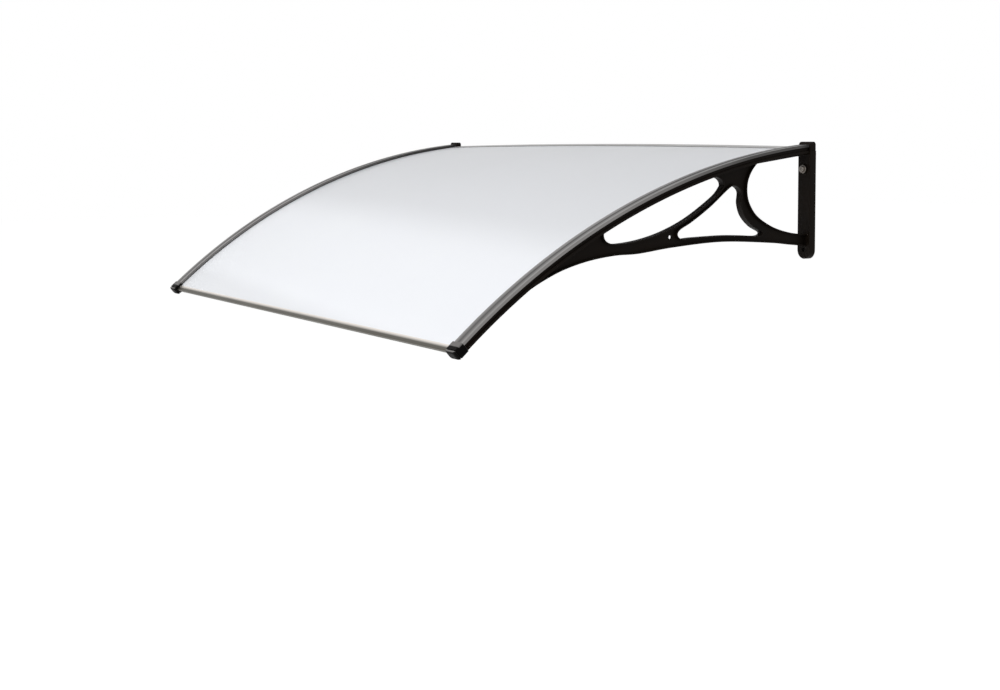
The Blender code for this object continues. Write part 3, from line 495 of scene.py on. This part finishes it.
def makeSheet():
    tree, given = newTree("archedSheet", {
        "Width": "Float", "Crown": "Float", "Crown Width": "Float", "Radius": "Float",
        "Start Angle": "Float", "End Angle": "Float", "Columns": "Int", "Rows": "Int",
        "Material": "Material"})
    grid = addNode(tree, "GeometryNodeMeshGrid", {
        "Size X": given["Width"], "Size Y": 1.0,
        "Vertices X": given["Columns"], "Vertices Y": given["Rows"]})
    position = addNode(tree, "GeometryNodeInputPosition").outputs[0]
    flat = addNode(tree, "ShaderNodeSeparateXYZ", {0: position})
    angle = addNode(tree, "ShaderNodeMapRange", {
        "Value": flat.outputs["Y"], "From Min": 0.5, "From Max": -0.5,
        "To Min": given["Start Angle"], "To Max": given["End Angle"]}).outputs["Result"]
    # the crown falls off as a square, to both sides and towards the front
    across = addNode(tree, "ShaderNodeMath", {
        0: flat.outputs["X"], 1: given["Crown Width"]}, operation="DIVIDE")
    square = addNode(tree, "ShaderNodeMath", {0: across.outputs[0], 1: 2.0}, operation="POWER")
    arch = addNode(tree, "ShaderNodeMath", {
        0: 1.0, 1: square.outputs[0]}, operation="SUBTRACT", use_clamp=True)
    along = addNode(tree, "ShaderNodeMapRange", {
        "Value": angle, "From Min": frontSlope, "From Max": wallSlope})
    alongSquare = addNode(tree, "ShaderNodeMath", {0: along.outputs["Result"], 1: 2.0}, operation="POWER")
    height = addNode(tree, "ShaderNodeMath", {
        0: arch.outputs[0], 1: alongSquare.outputs[0]}, operation="MULTIPLY")
    rise = addNode(tree, "ShaderNodeMath", {
        0: height.outputs[0], 1: given["Crown"]}, operation="MULTIPLY")
    place = arcPlace(tree, flat.outputs["X"], angle, given["Radius"], rise.outputs[0])
    arched = addNode(tree, "GeometryNodeSetPosition", {"Geometry": grid.outputs["Mesh"], "Position": place})
    endTree(tree, arched.outputs[0], given["Material"])

    def thicken(work):
        solid = work.modifiers.new("thickness", "SOLIDIFY")
        solid.thickness = sheet["thickness"]
        solid.offset = -1
    mesh = meshFromTree(tree, {
        "Width": 2 * (stripInner + sheet["bite"]), "Crown": sheet["crown"], "Crown Width": stripInner,
        "Radius": arcRadius, "Start Angle": sheetFrom, "End Angle": sheetTo,
        "Columns": sheet["columns"], "Rows": sheet["rows"], "Material": opalSheet}, thicken)
    finished("opalSheet", cleaned(mesh), opalSheet, ["canopy_sheet"])


makeSheet()
print("sheet ready")


# Cover strips and gaskets: extruded sections carried along the arc

coverStrip = {
    "height": 0.008,
    "wall": 0.0018,
    "sideLift": 0.0020,  # lower edge of its outer side, above the arc
    "grooveWidth": 0.0056,
    "grooveDepth": 0.0011,
    "screwLine": 0.0035,  # out from the strip's middle
    "slotWall": 0.0014,
    "screwDiameter": 0.0032,
    "shoulderRounding": 0.0012,
    "grooveRounding": 0.0005,
    "insideRounding": 0.0006,
    "edgeRounding": 0.0004,
    "slotRounding": 0.0003,
}
gasket = {
    "wall": 0.0012,
    "reach": 0.0098,  # over the sheet
    "edge": 0.0020,  # beyond the sheet's edge
    "outerRounding": 0.0005,
    "lipRounding": 0.0004,
    "insideRounding": 0.0003,
    "steps": 64,
}
gasketTop = gap + gasket["wall"]
gasketBottom = -sheet["thickness"] - gap - gasket["wall"]
flangeTop = gasketBottom - gap


def makeCoverStrips():
    half, wall, high = halfStrip, coverStrip["wall"], coverStrip["height"]
    under, low, foot = high - wall, gasketTop + gap, flangeTop + gap
    lift, trough = coverStrip["sideLift"], high - coverStrip["grooveDepth"]
    line, groove = coverStrip["screwLine"], coverStrip["grooveWidth"]
    slot = coverStrip["screwDiameter"] / 2 + gap
    leg = slot + coverStrip["slotWall"]
    shoulder, dip, inside, edge, tip = (
        coverStrip[name + "Rounding"] for name in ("shoulder", "groove", "inside", "edge", "slot"))
    corners = [
        (-half, low, edge), (-half + wall, low, edge), (-half + wall, under, inside),
        (line - leg, under, edge), (line - leg, foot, tip), (line - slot, foot, tip), (line - slot, under, 0),
        (line + slot, under, 0), (line + slot, foot, tip), (line + leg, foot, tip), (line + leg, under, edge),
        (half - wall, under, inside), (half - wall, lift, edge), (half, lift, edge), (half, high, shoulder),
        (groove / 2, high, dip), (groove / 4, trough, dip), (-groove / 4, trough, dip),
        (-groove / 2, high, dip), (-half, high, shoulder),
    ]
    bothSides("coverStrip", alongArc(corners, anodisedStrip), anodisedStrip, ["cover_strip"])


def makeGaskets():
    web = stripInner + sheet["bite"] + gap - stripMiddle
    outer, inner = web + gasket["edge"], web - gasket["reach"]
    low = -sheet["thickness"] - gap
    back, lip, inside = (gasket[name + "Rounding"] for name in ("outer", "lip", "inside"))
    corners = [
        (inner, gasketBottom, lip), (outer, gasketBottom, back), (outer, gasketTop, back),
        (inner, gasketTop, lip), (inner, gap, inside), (web, gap, inside), (web, low, inside),
        (inner, low, inside),
    ]
    mesh = alongArc(corners, edgeRubber, steps=gasket["steps"], cornerSteps=3)
    bothSides("edgeGasket", mesh, edgeRubber, ["edge_gasket"])


makeCoverStrips()
makeGaskets()
print("strips and gaskets ready")


# Caps, washers, rear bar and seal: copies of CAD nodes, with their edges rounded

softEdges = {
    "rearCap": 0.0004,
    "frontCap": 0.0003,
    "boltWasher": 0.0002,
    "rearBar": 0.0002,
    "rearSeal": 0.0003,
    "flatWithin": 0.05,  # degrees between triangles that are joined into one face
    "roundFrom": 38,
    "sharpAngle": 40,
    "mergeWithin": 1e-5,
    "steps": 2,
}


def softened(node, name, material, width):
    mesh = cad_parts[node].data.copy()
    bm = bmesh.new()
    bm.from_mesh(mesh)
    bmesh.ops.remove_doubles(bm, verts=bm.verts, dist=softEdges["mergeWithin"])
    flat = math.radians(softEdges["flatWithin"])
    bmesh.ops.dissolve_limit(bm, angle_limit=flat, verts=bm.verts, edges=bm.edges)
    bm.to_mesh(mesh)
    bm.free()
    work = newObject("work", mesh)
    bevel = work.modifiers.new("rounding", "BEVEL")
    bevel.width = width
    bevel.segments = softEdges["steps"]
    bevel.limit_method = "ANGLE"
    bevel.angle_limit = math.radians(softEdges["roundFrom"])
    done = plainMesh(work)
    bpy.data.objects.remove(work)
    finished(name, done, material, [node], softEdges["sharpAngle"])


for side in ("left", "right"):
    label = side.capitalize()
    softened(f"rear_cap_{side}", f"rearCap{label}", mouldedNylon, softEdges["rearCap"])
    softened(f"front_cap_{side}", f"frontCap{label}", paintedLightCap, softEdges["frontCap"])
    softened(f"bolt_washer_{side}", f"boltWasher{label}", zincPlating, softEdges["boltWasher"])
softened("rear_bar", "rearBar", anodisedBar, softEdges["rearBar"])
softened("rear_seal", "rearSeal", edgeRubber, softEdges["rearSeal"])


# Front bar: a channel over the low edge of the sheet, with a round nose

frontBar = {
    "lip": 0.013,
    "wall": 0.0017,
    "web": 0.0022,
    "noseRounding": 0.0022,
    "lipRounding": 0.0004,
    "slotRounding": 0.0003,
    "noseSteps": 6,
}


def makeFrontBar():
    under, back, nose = -sheet["thickness"] - gap, -frontBar["lip"], frontBar["noseRounding"]
    top, low, front = gap + frontBar["wall"], under - frontBar["wall"], gap + frontBar["web"]
    lip, inside = frontBar["lipRounding"], frontBar["slotRounding"]
    corners = [
        (back, top, lip), (front, top, nose), (front, low, nose), (back, low, lip),
        (back, under, inside), (gap, under, inside), (gap, gap, inside), (back, gap, inside),
    ]
    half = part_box("front_bar")[1][0]
    outline = [(-half, *arcPoint(sheetTo + ahead / arcRadius, offset))
               for ahead, offset in rounded(corners, frontBar["noseSteps"])]
    bm = bmesh.new()
    pulledOut(bm, outline, (2 * half, 0, 0))
    finished("frontBar", cleaned(meshOf(bm)), frontBarMetal, ["front_bar"])


makeFrontBar()
print("caps and bars ready")


# Brackets: one moulding each, of a flange on the arc, a ribbed web with three openings, and a wall plate

bracket = {
    "flangeThickness": 0.0054,
    "flangeRounding": 0.0007,
    "upstandWidth": 0.0035,
    "upstandSetback": 0.0035,
    "upstandRounding": 0.0005,
    "rimDepth": 0.018,
    "rimWidth": 0.0030,
    "rimRounding": 0.0006,
    "webThickness": 0.0056,
    "topRim": 0.0008,
    "plateWidth": 0.040,
    "plateRounding": 0.0015,
    "plateTail": 0.0469,
    "armBelowArc": 0.0398,
    "rootDepth": 0.0153,
    "rootSetback": 0.8,  # share of the plate's thickness at which the D opening ends
    "nose": 0.155,  # from the web's front to the sheet's end
    "eye": 0.0090,
    "collarDrop": 0.0125,
    "collarHeight": 0.0060,
    "collarGrowth": 0.0005,
    "collarRounding": 0.0005,
    # the tongue stands inside the rear cap
    "tongueDrop": 0.025,
    "tongueSetback": 0.0025,
    "tongueSideGap": 0.0019,
    "curveSteps": 9,
    "arcSteps": 80,
    "tailSteps": 32,
    "eyeSteps": 32,
    "plateRoundingSteps": 4,
    "rimRoundingSteps": 2,
}
# places on the web: shares of its reach out from the wall, then of the arm's drop
webCurves = {
    "lowerEdge": (
        (0.0081, 1.0972), (0.0671, 1.0756), (0.1611, 1.0403), (0.3396, 1.0081), (0.5101, 1.0458),
        (0.6309, 1.0967), (0.7128, 1.1073), (0.7987, 1.1506), (0.8792, 1.2292), (0.9463, 1.3340),
        (1.0067, 1.4534)),
    "leaf": (
        (0.7423, 0.8262), (0.7477, 0.9018), (0.7356, 0.9647), (0.7007, 0.9874), (0.6201, 0.9531),
        (0.5369, 0.8715), (0.4532, 0.7370), (0.3658, 0.5340), (0.3376, 0.4307), (0.3342, 0.3829),
        (0.3450, 0.3350), (0.3705, 0.3023)),
    "triangle": (
        (0.2866, 0.4181), (0.3103, 0.4307), (0.3801, 0.6277), (0.4463, 0.7839), (0.4872, 0.8625),
        (0.4966, 0.9169), (0.4819, 0.9607), (0.4413, 0.9521), (0.3329, 0.9411), (0.2599, 0.9491),
        (0.2040, 0.9587), (0.1893, 0.9244), (0.2247, 0.8544), (0.2564, 0.7406), (0.2698, 0.6045),
        (0.2685, 0.4786)),
    "d": (
        (0.1933, 0.1360), (0.2134, 0.1839), (0.2329, 0.2720), (0.2451, 0.3829), (0.2454, 0.5139),
        (0.2336, 0.6322), (0.2054, 0.7531), (0.1486, 0.8685), (0.0805, 0.9380), (0.0081, 0.9647)),
    "eye": (0.5168, 0.9395),
}
webReach = canopy["depth"] - bracket["nose"]
leafFront = webReach * max(place[0] for place in webCurves["leaf"])
armDrop = bracket["armBelowArc"] - arcHeight(leafFront)
plateBottom = -armDrop - bracket["plateTail"]
flangeUnder = flangeTop - bracket["flangeThickness"]
flangeMiddle = (flangeTop + flangeUnder) / 2
# the bracket's boss, holes and seats take their sizes from the fasteners
wallBolt = {
    "drop": 0.0475,
    "diameter": 0.008,
    "hole": 0.009,
    "acrossFlats": 0.013,
    "headHeight": 0.0053,
    "chamfer": 0.0008,
    "chamferInset": 0.0003,
    "chamferReach": 0.0002,  # past the corners, so that it cuts them all
    "washer": 0.0016,
    "bossDiameter": 0.0205,
    "bossHeight": 0.0026,
    "bossChamfer": 0.0005,
    "overlap": 0.001,  # of the bodies that are joined
    "steps": 48,
    "holeSteps": 40,
    "shankSteps": 32,
    "sharpAngle": 25,
}
stripScrew = {
    "shares": (0.115, 0.45, 0.88),
    "hole": 0.0042,
    "holeLength": 0.016,
    "cutBelow": 0.005,  # how far under the flange its holes and seats are cut from
    "headDiameter": 0.0076,
    "headHeight": 0.0026,
    "domeFrom": 0.45,  # share of the head's height
    "seatDepth": 0.0003,
    "reach": 0.0040,  # its tip, above the arc
    "tipWidth": 0.6,  # shares of the thread's radius
    "tipLength": 0.8,
    "crossWidth": 0.0011,
    "crossSpan": 0.0044,
    "crossDepth": 0.0014,
    "steps": 32,
    "holeSteps": 24,
    "domeSteps": 6,
}


def smoothLine(knots, closed=False):  # Catmull-Rom curve through the knots
    count, steps, points = len(knots), bracket["curveSteps"], []
    for i in range(count if closed else count - 1):
        near = [(i + k) % count if closed else min(max(i + k, 0), count - 1) for k in (-1, 0, 1, 2)]
        a, b, c, d = (Vector(knots[k]) for k in near)
        for step in range(steps):
            t = step / steps
            points.append(0.5 * (2 * b + (c - a) * t + (2 * a - 5 * b + 4 * c - d) * t ** 2
                                 + (3 * b - a - 3 * c + d) * t ** 3))
    return points if closed else points + [Vector(knots[-1])]


def movedAside(points, distance, closed=False):  # to the left of its direction
    count, out = len(points), []
    for i, point in enumerate(points):
        before = points[(i - 1) % count] if closed or i > 0 else point
        after = points[(i + 1) % count] if closed or i < count - 1 else point
        way = (after - before).normalized()
        out.append(point + Vector((-way.y, way.x)) * distance)
    return out


def turnsLeft(points):
    return sum(a.x * b.y - b.x * a.y for a, b in zip(points, points[1:] + points[:1])) > 0


def webLine(name):
    knots = [(out * webReach, -down * armDrop) for out, down in webCurves[name]]
    return smoothLine(knots, name == "triangle")


def grownOpening(name, growth):
    line = webLine(name)
    return movedAside(line, -growth if turnsLeft(line) else growth, name == "triangle")


def layerOf(point):  # its distance out from the arc
    return math.hypot(point.x + arcY, point.y - arcZ) - arcRadius


def alongLayer(first, last, offset):
    start, stop = (math.atan2(point.x + arcY, point.y - arcZ) for point in (first, last))
    share = abs(stop - start) / (frontSlope - wallSlope)
    steps = math.ceil(bracket["arcSteps"] * share)
    places = [arcPoint(start + (stop - start) * i / steps, offset) for i in range(steps + 1)]
    return [Vector((-y, z)) for y, z in places]


# closed loop: the line below a layer of the arc, stopped by an upright at the wall end where one is given
def closedUnder(line, offset, behind=None, rootDepth=None):
    kept = [point for point in line if layerOf(point) < offset and (behind is None or point.x > behind)]
    if behind is None:
        return kept + alongLayer(kept[-1], kept[0], offset)
    if kept[0].x < kept[-1].x:
        kept.reverse()
    foot = Vector((behind, kept[-1].y))
    if rootDepth:
        return kept + [foot, Vector((behind, -rootDepth))]
    return kept + [foot] + alongLayer(Vector((behind, arcHeight(behind, offset))), kept[0], offset)


# a plate across X from closed (distance, z) loops, the first being its outside, with its edges rounded
def flatPlate(loops, thickness, rounding=0.0, steps=0):
    curve = bpy.data.curves.new("plate", "CURVE")
    curve.dimensions = "2D"
    curve.fill_mode = "BOTH"
    curve.extrude = thickness / 2 - rounding
    curve.bevel_depth = rounding
    curve.bevel_resolution = steps
    curve.offset = -rounding
    for points in loops:
        spline = curve.splines.new("POLY")
        spline.points.add(len(points) - 1)
        for point, place in zip(spline.points, points):
            point.co = (place.x, place.y, 0, 1)
        spline.use_cyclic_u = True
    work = newObject("plate", curve)
    # the drawing's X becomes -Y, its Y becomes Z and its Z becomes -X
    work.matrix_world = Matrix(((0, 0, -1, stripMiddle), (-1, 0, 0, 0), (0, 1, 0, 0), (0, 0, 0, 1)))
    mesh = plainMesh(work)
    bpy.data.objects.remove(work)
    return cleaned(mesh, merge=1e-5)


def roundedBlock(low, high, rounding=0.0, steps=3):
    bm = bmesh.new()
    bmesh.ops.create_cube(bm, size=1.0)
    for vert in bm.verts:
        vert.co = [low[k] + (high[k] - low[k]) * (vert.co[k] + 0.5) for k in range(3)]
    if rounding:
        bmesh.ops.bevel(bm, geom=bm.edges[:], offset=rounding, segments=steps, affect="EDGES", profile=0.5)
    return meshOf(bm)


# a closed body from (radius, z) points that run down its outer side
def turned(profile, steps, matrix=Matrix.Identity(4)):
    bm = bmesh.new()
    verts = [bm.verts.new((radius, 0, z)) for radius, z in profile]
    edges = [bm.edges.new(pair) for pair in zip(verts, verts[1:])]
    bmesh.ops.spin(
        bm, geom=verts + edges, cent=(0, 0, 0), axis=(0, 0, 1), angle=2 * math.pi, steps=steps)
    bmesh.ops.remove_doubles(bm, verts=bm.verts, dist=1e-6)
    mesh = meshOf(bm)
    mesh.transform(matrix)
    return mesh


def rod(diameter, length, steps, matrix):
    return turned([(0, length), (diameter / 2, length), (diameter / 2, 0), (0, 0)], steps, matrix)


def webBodies():  # the thin web, and the full-depth rims that follow its curves
    rim, inset = bracket["rimWidth"], bracket["rimWidth"] / 2
    behind, opening = bracket["rootSetback"] * plateDepth, flangeUnder - bracket["topRim"]
    lower = webLine("lowerEdge")
    core = [
        closedUnder(movedAside(lower, inset), flangeMiddle, plateDepth / 2),
        closedUnder(grownOpening("leaf", inset), opening),
        closedUnder(grownOpening("d", inset), opening, behind, bracket["rootDepth"] - inset),
        grownOpening("triangle", inset),
    ]
    rims = [
        [closedUnder(grownOpening("leaf", rim), flangeMiddle), closedUnder(webLine("leaf"), opening)],
        [closedUnder(grownOpening("d", rim), flangeMiddle, behind / 2),
         closedUnder(webLine("d"), opening, behind, bracket["rootDepth"])],
        [grownOpening("triangle", rim), webLine("triangle")],
        [lower + movedAside(lower, rim)[::-1]],
    ]
    depth, rounding, steps = bracket["rimDepth"], bracket["rimRounding"], bracket["rimRoundingSteps"]
    return [flatPlate(core, bracket["webThickness"])] + [
        flatPlate(loops, depth, rounding, steps) for loops in rims]


def wallPlate():
    half, steps = bracket["plateWidth"] / 2, bracket["tailSteps"]
    low, top = plateBottom + half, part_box("rear_cap_right")[0][2] - gap
    turns = [math.pi * (1 + i / steps) for i in range(steps + 1)]
    outline = [(half, top), (-half, top)]
    outline += [(half * math.cos(turn), low + half * math.sin(turn)) for turn in turns]
    bm = bmesh.new()
    pulledOut(bm, [(stripMiddle + x, 0, z) for x, z in outline], (0, -plateDepth, 0))
    front = [edge for edge in bm.edges if all(vert.co.y < -plateDepth / 2 for vert in edge.verts)]
    bmesh.ops.bevel(bm, geom=front, offset=bracket["plateRounding"],
                    segments=bracket["plateRoundingSteps"], affect="EDGES", profile=0.5)
    return meshOf(bm)


def slopeAtShare(share):
    return wallSlope + (frontSlope - wallSlope) * share


def screwPlace(share, offset):
    angle = slopeAtShare(share)
    place = (stripMiddle + coverStrip["screwLine"], *arcPoint(angle, offset))
    return Matrix.Translation(place) @ Matrix.Rotation(angle, 4, "X")


def onPlate(distance, drop):  # a place in front of the wall, with its Z away from the wall
    return Matrix.Translation((stripMiddle, -distance, -drop)) @ Matrix.Rotation(math.pi / 2, 4, "X")


def makeFlange():
    half, rounding = halfStrip, bracket["flangeRounding"]
    corners = [(-half, flangeUnder, rounding), (half, flangeUnder, rounding),
               (half, flangeTop, rounding), (-half, flangeTop, rounding)]
    return alongArc(corners, mouldedNylon, start=angleAt(plateDepth / 2))


def makeUpstand():
    setback, rounding = bracket["upstandSetback"], bracket["upstandRounding"]
    outer = halfStrip - setback
    inner = outer - bracket["upstandWidth"]
    corners = [(inner, flangeMiddle, 0), (outer, flangeMiddle, 0),
               (outer, gasketTop, rounding), (inner, gasketTop, rounding)]
    return alongArc(corners, mouldedNylon, end=angleAt(canopy["depth"] - setback))


def makeCollar():
    grown, drop = bracket["collarGrowth"], bracket["collarDrop"]
    wide = bracket["plateWidth"] / 2 + grown
    return roundedBlock(
        (stripMiddle - wide, -plateDepth - grown, -drop - bracket["collarHeight"]),
        (stripMiddle + wide, 0, -drop), bracket["collarRounding"])


def makeTongue():
    capLow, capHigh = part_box("rear_cap_right")
    slim = (capHigh[0] - capLow[0]) / 2 - bracket["tongueSideGap"]
    front, top = bracket["tongueSetback"] - plateDepth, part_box("bracket_right")[1][2]
    return roundedBlock((stripMiddle - slim, front, -bracket["tongueDrop"]), (stripMiddle + slim, 0, top))


def makeBoss():
    top, edge, radius = wallBolt["bossHeight"], wallBolt["bossChamfer"], wallBolt["bossDiameter"] / 2
    foot = -plateDepth / 2
    profile = [(0, top), (radius - edge, top), (radius, top - edge), (radius, foot), (0, foot)]
    return turned(profile, wallBolt["steps"], onPlate(plateDepth, wallBolt["drop"]))


def bracketHoles():
    deep, below = bracket["rimDepth"], stripScrew["cutBelow"]
    out, down = webCurves["eye"]
    beside = Matrix.Translation((stripMiddle - deep, -out * webReach, -down * armDrop))
    across = beside @ Matrix.Rotation(math.pi / 2, 4, "Y")
    holes = [rod(bracket["eye"], 2 * deep, bracket["eyeSteps"], across)]
    for drop in (wallBolt["drop"], -plateBottom - bracket["plateWidth"] / 2):
        behind = onPlate(-plateDepth, drop)
        holes.append(rod(wallBolt["hole"], 3 * plateDepth, wallBolt["holeSteps"], behind))
    for share in stripScrew["shares"]:
        through = screwPlace(share, flangeUnder - below)
        seat = screwPlace(share, flangeUnder + stripScrew["seatDepth"] - below)
        holes.append(rod(stripScrew["hole"], stripScrew["holeLength"], stripScrew["holeSteps"], through))
        holes.append(rod(stripScrew["headDiameter"] + 4 * gap, below, stripScrew["steps"], seat))
    return holes


def makeBrackets():
    parts = [makeTongue(), makeBoss(), makeCollar(), makeFlange(), makeUpstand(), *webBodies()]
    body = combined(combined(wallPlate(), parts, "UNION"), bracketHoles(), "DIFFERENCE")
    bothSides("bracket", body, mouldedNylon, ["bracket"])


makeBrackets()
print("brackets ready")


# Wall bolts: hexagon heads with chamfered corners

def makeWallBolts():
    front = plateDepth + wallBolt["bossHeight"] + gap
    seat, overlap = wallBolt["washer"] + gap, wallBolt["overlap"]
    top, across = seat + wallBolt["headHeight"], wallBolt["acrossFlats"] / 2
    corner = across / math.cos(math.pi / 6)
    bm = bmesh.new()
    bmesh.ops.create_cone(bm, cap_ends=True, segments=6, radius1=corner, radius2=corner,
                          depth=wallBolt["headHeight"], matrix=Matrix.Translation((0, 0, (seat + top) / 2)))
    wide = corner + wallBolt["chamferReach"]
    chamfer = turned([
        (0, top), (across - wallBolt["chamferInset"], top), (wide, top - wallBolt["chamfer"]),
        (wide, seat - overlap), (0, seat - overlap)], wallBolt["steps"])
    back = Matrix.Translation((0, 0, -front))
    shank = rod(wallBolt["diameter"], front + seat + overlap, wallBolt["shankSteps"], back)
    bolt = combined(combined(meshOf(bm), [chamfer], "INTERSECT"), [shank], "UNION")
    bolt.transform(onPlate(front, wallBolt["drop"]))
    bothSides("wallBolt", bolt, zincPlating, ["wall_bolt"], wallBolt["sharpAngle"])


makeWallBolts()


# Strip screws: one screw with a cross recess, set along the arc by a tree

screwAngles = ("First Angle", "Middle Angle", "Last Angle")


def makeScrewTree():
    tree, given = newTree("screwsAlongArc", {
        "Screw": "Object", "Side": "Float", "Radius": "Float",
        **{label: "Float" for label in screwAngles}, "Material": "Material"})
    line = addNode(tree, "GeometryNodeMeshLine", {"Count": len(screwAngles)})
    number = addNode(tree, "GeometryNodeInputIndex").outputs[0]
    pick = addNode(tree, "GeometryNodeIndexSwitch", data_type="FLOAT")
    pick.index_switch_items.new()
    tree.links.new(number, pick.inputs["Index"])
    for place, label in enumerate(screwAngles):
        tree.links.new(given[label], pick.inputs[place + 1])
    angle = pick.outputs[0]
    placed = addNode(tree, "GeometryNodeSetPosition", {
        "Geometry": line.outputs[0], "Position": arcPlace(tree, given["Side"], angle, given["Radius"])})
    turn = addNode(tree, "ShaderNodeCombineXYZ", {"X": angle}).outputs[0]
    screw = addNode(tree, "GeometryNodeObjectInfo", {"Object": given["Screw"]})
    screws = addNode(tree, "GeometryNodeInstanceOnPoints", {
        "Points": placed.outputs[0], "Instance": screw.outputs["Geometry"], "Rotation": turn})
    endTree(tree, screws.outputs[0], given["Material"])
    return tree


def makeStripScrews():
    seat, high = flangeUnder + stripScrew["seatDepth"] - gap, stripScrew["headHeight"]
    head, core = stripScrew["headDiameter"] / 2, coverStrip["screwDiameter"] / 2
    length, rim, steps = stripScrew["reach"] - seat, stripScrew["domeFrom"], stripScrew["domeSteps"]
    dome = [(head * math.cos(turn), -rim * high - (1 - rim) * high * math.sin(turn))
            for turn in (math.pi / 2 * i / steps for i in range(steps))]
    tip = [(stripScrew["tipWidth"] * core, length), (core, length - stripScrew["tipLength"] * core)]
    screw = turned([(0, length), *tip, (core, 0), (head, 0), *dome, (0, -high)], stripScrew["steps"])
    span, width = stripScrew["crossSpan"] / 2, stripScrew["crossWidth"] / 2
    bottom = stripScrew["crossDepth"] - high
    cross = [roundedBlock((-x, -y, -2 * high), (x, y, bottom)) for x, y in ((span, width), (width, span))]
    screwObject = newObject("screw", combined(screw, cross, "DIFFERENCE"))
    angles = {label: slopeAtShare(share) for label, share in zip(screwAngles, stripScrew["shares"])}
    mesh = meshFromTree(makeScrewTree(), {
        "Screw": screwObject, "Side": stripMiddle + coverStrip["screwLine"], "Radius": arcRadius + seat,
        **angles, "Material": zincPlating})
    bpy.data.objects.remove(screwObject)
    nodes = [f"strip_screw_{number}" for number in (1, 2, 3)]
    bothSides("stripScrews", mesh, zincPlating, nodes)


makeStripScrews()
print("bolts and screws ready")


# Studio: pale floor, white surroundings, soft light from the front

studio = {
    "floorHeight": -1.6,
    "floorSize": 60.0,
    "floorColour": "#E4E4E4",
    "floorGlow": 0.74,
    "worldStrength": 0.34,
    "lampsAimAt": (0, -0.45, -0.1),
    "keyLight": {"place": (0.2, -4.4, 1.45), "size": (4.8, 3.4), "power": 198.0},
    "fillLight": {"place": (2.4, -2.6, 2.8), "size": (2.0, 1.6), "power": 6.0},
}
photoCamera = {
    "place": (3.40318, -2.38192, 0.00529),
    "tilt": 86.7279,  # degrees up from straight down
    "turn": 58.8357,
    "lens": 56.70,
    "sensor": 36,
    "shift": -0.11,
}


def seenRays(tree):  # 1 for what the camera sees straight, by reflection or through something, 0 for light
    path = addNode(tree, "ShaderNodeLightPath").outputs
    seen = addNode(tree, "ShaderNodeMath", {
        0: path["Is Camera Ray"], 1: path["Is Glossy Ray"]}, operation="MAXIMUM")
    return addNode(tree, "ShaderNodeMath", {
        0: seen.outputs[0], 1: path["Is Transmission Ray"]}, operation="MAXIMUM").outputs[0]


def makeFloor():
    bm = bmesh.new()
    down = Matrix.Translation((0, 0, studio["floorHeight"]))
    bmesh.ops.create_grid(bm, x_segments=1, y_segments=1, size=studio["floorSize"] / 2, matrix=down)
    mesh = bpy.data.meshes.new("studioFloor")
    bm.to_mesh(mesh)
    bm.free()
    material = bpy.data.materials.new("studioFloorPaint")
    tree = emptyTree(material)
    glow = addNode(tree, "ShaderNodeMath", {0: seenRays(tree), 1: studio["floorGlow"]}, operation="MULTIPLY")
    paint = addNode(tree, "ShaderNodeBsdfDiffuse", {"Color": fromHex(studio["floorColour"])})
    light = addNode(tree, "ShaderNodeEmission", {"Color": (1, 1, 1, 1), "Strength": glow.outputs[0]})
    both = addNode(tree, "ShaderNodeAddShader", {0: paint.outputs[0], 1: light.outputs[0]})
    addNode(tree, "ShaderNodeOutputMaterial", {"Surface": both.outputs[0]})
    mesh.materials.append(material)
    newObject("studioFloor", mesh)


def makeWorld():
    world = bpy.data.worlds.new("studio")
    bpy.context.scene.world = world
    tree = emptyTree(world)
    strength = addNode(tree, "ShaderNodeMapRange", {
        "Value": seenRays(tree), "To Min": studio["worldStrength"], "To Max": 1.0})
    glow = addNode(tree, "ShaderNodeBackground", {
        "Color": (1, 1, 1, 1), "Strength": strength.outputs["Result"]})
    addNode(tree, "ShaderNodeOutputWorld", {"Surface": glow.outputs[0]})


def makeLamp(name):
    place, target = Vector(studio[name]["place"]), Vector(studio["lampsAimAt"])
    data = bpy.data.lights.new(name, "AREA")
    data.shape = "RECTANGLE"
    data.size, data.size_y = studio[name]["size"]
    data.energy = studio[name]["power"]
    lamp = newObject(name, data)
    lamp.location = place
    lamp.rotation_euler = (target - place).to_track_quat("-Z", "Y").to_euler()


def makeCamera():
    data = bpy.data.cameras.new("photoCamera")
    data.sensor_width = photoCamera["sensor"]
    data.lens = photoCamera["lens"]
    data.shift_y = photoCamera["shift"]
    camera = newObject("photoCamera", data)
    camera.location = photoCamera["place"]
    camera.rotation_euler = (math.radians(photoCamera["tilt"]), 0, math.radians(photoCamera["turn"]))
    bpy.context.scene.camera = camera


makeFloor()
makeWorld()
makeLamp("keyLight")
makeLamp("fillLight")
makeCamera()
bpy.context.scene.view_settings.view_transform = "Standard"
print("studio ready")
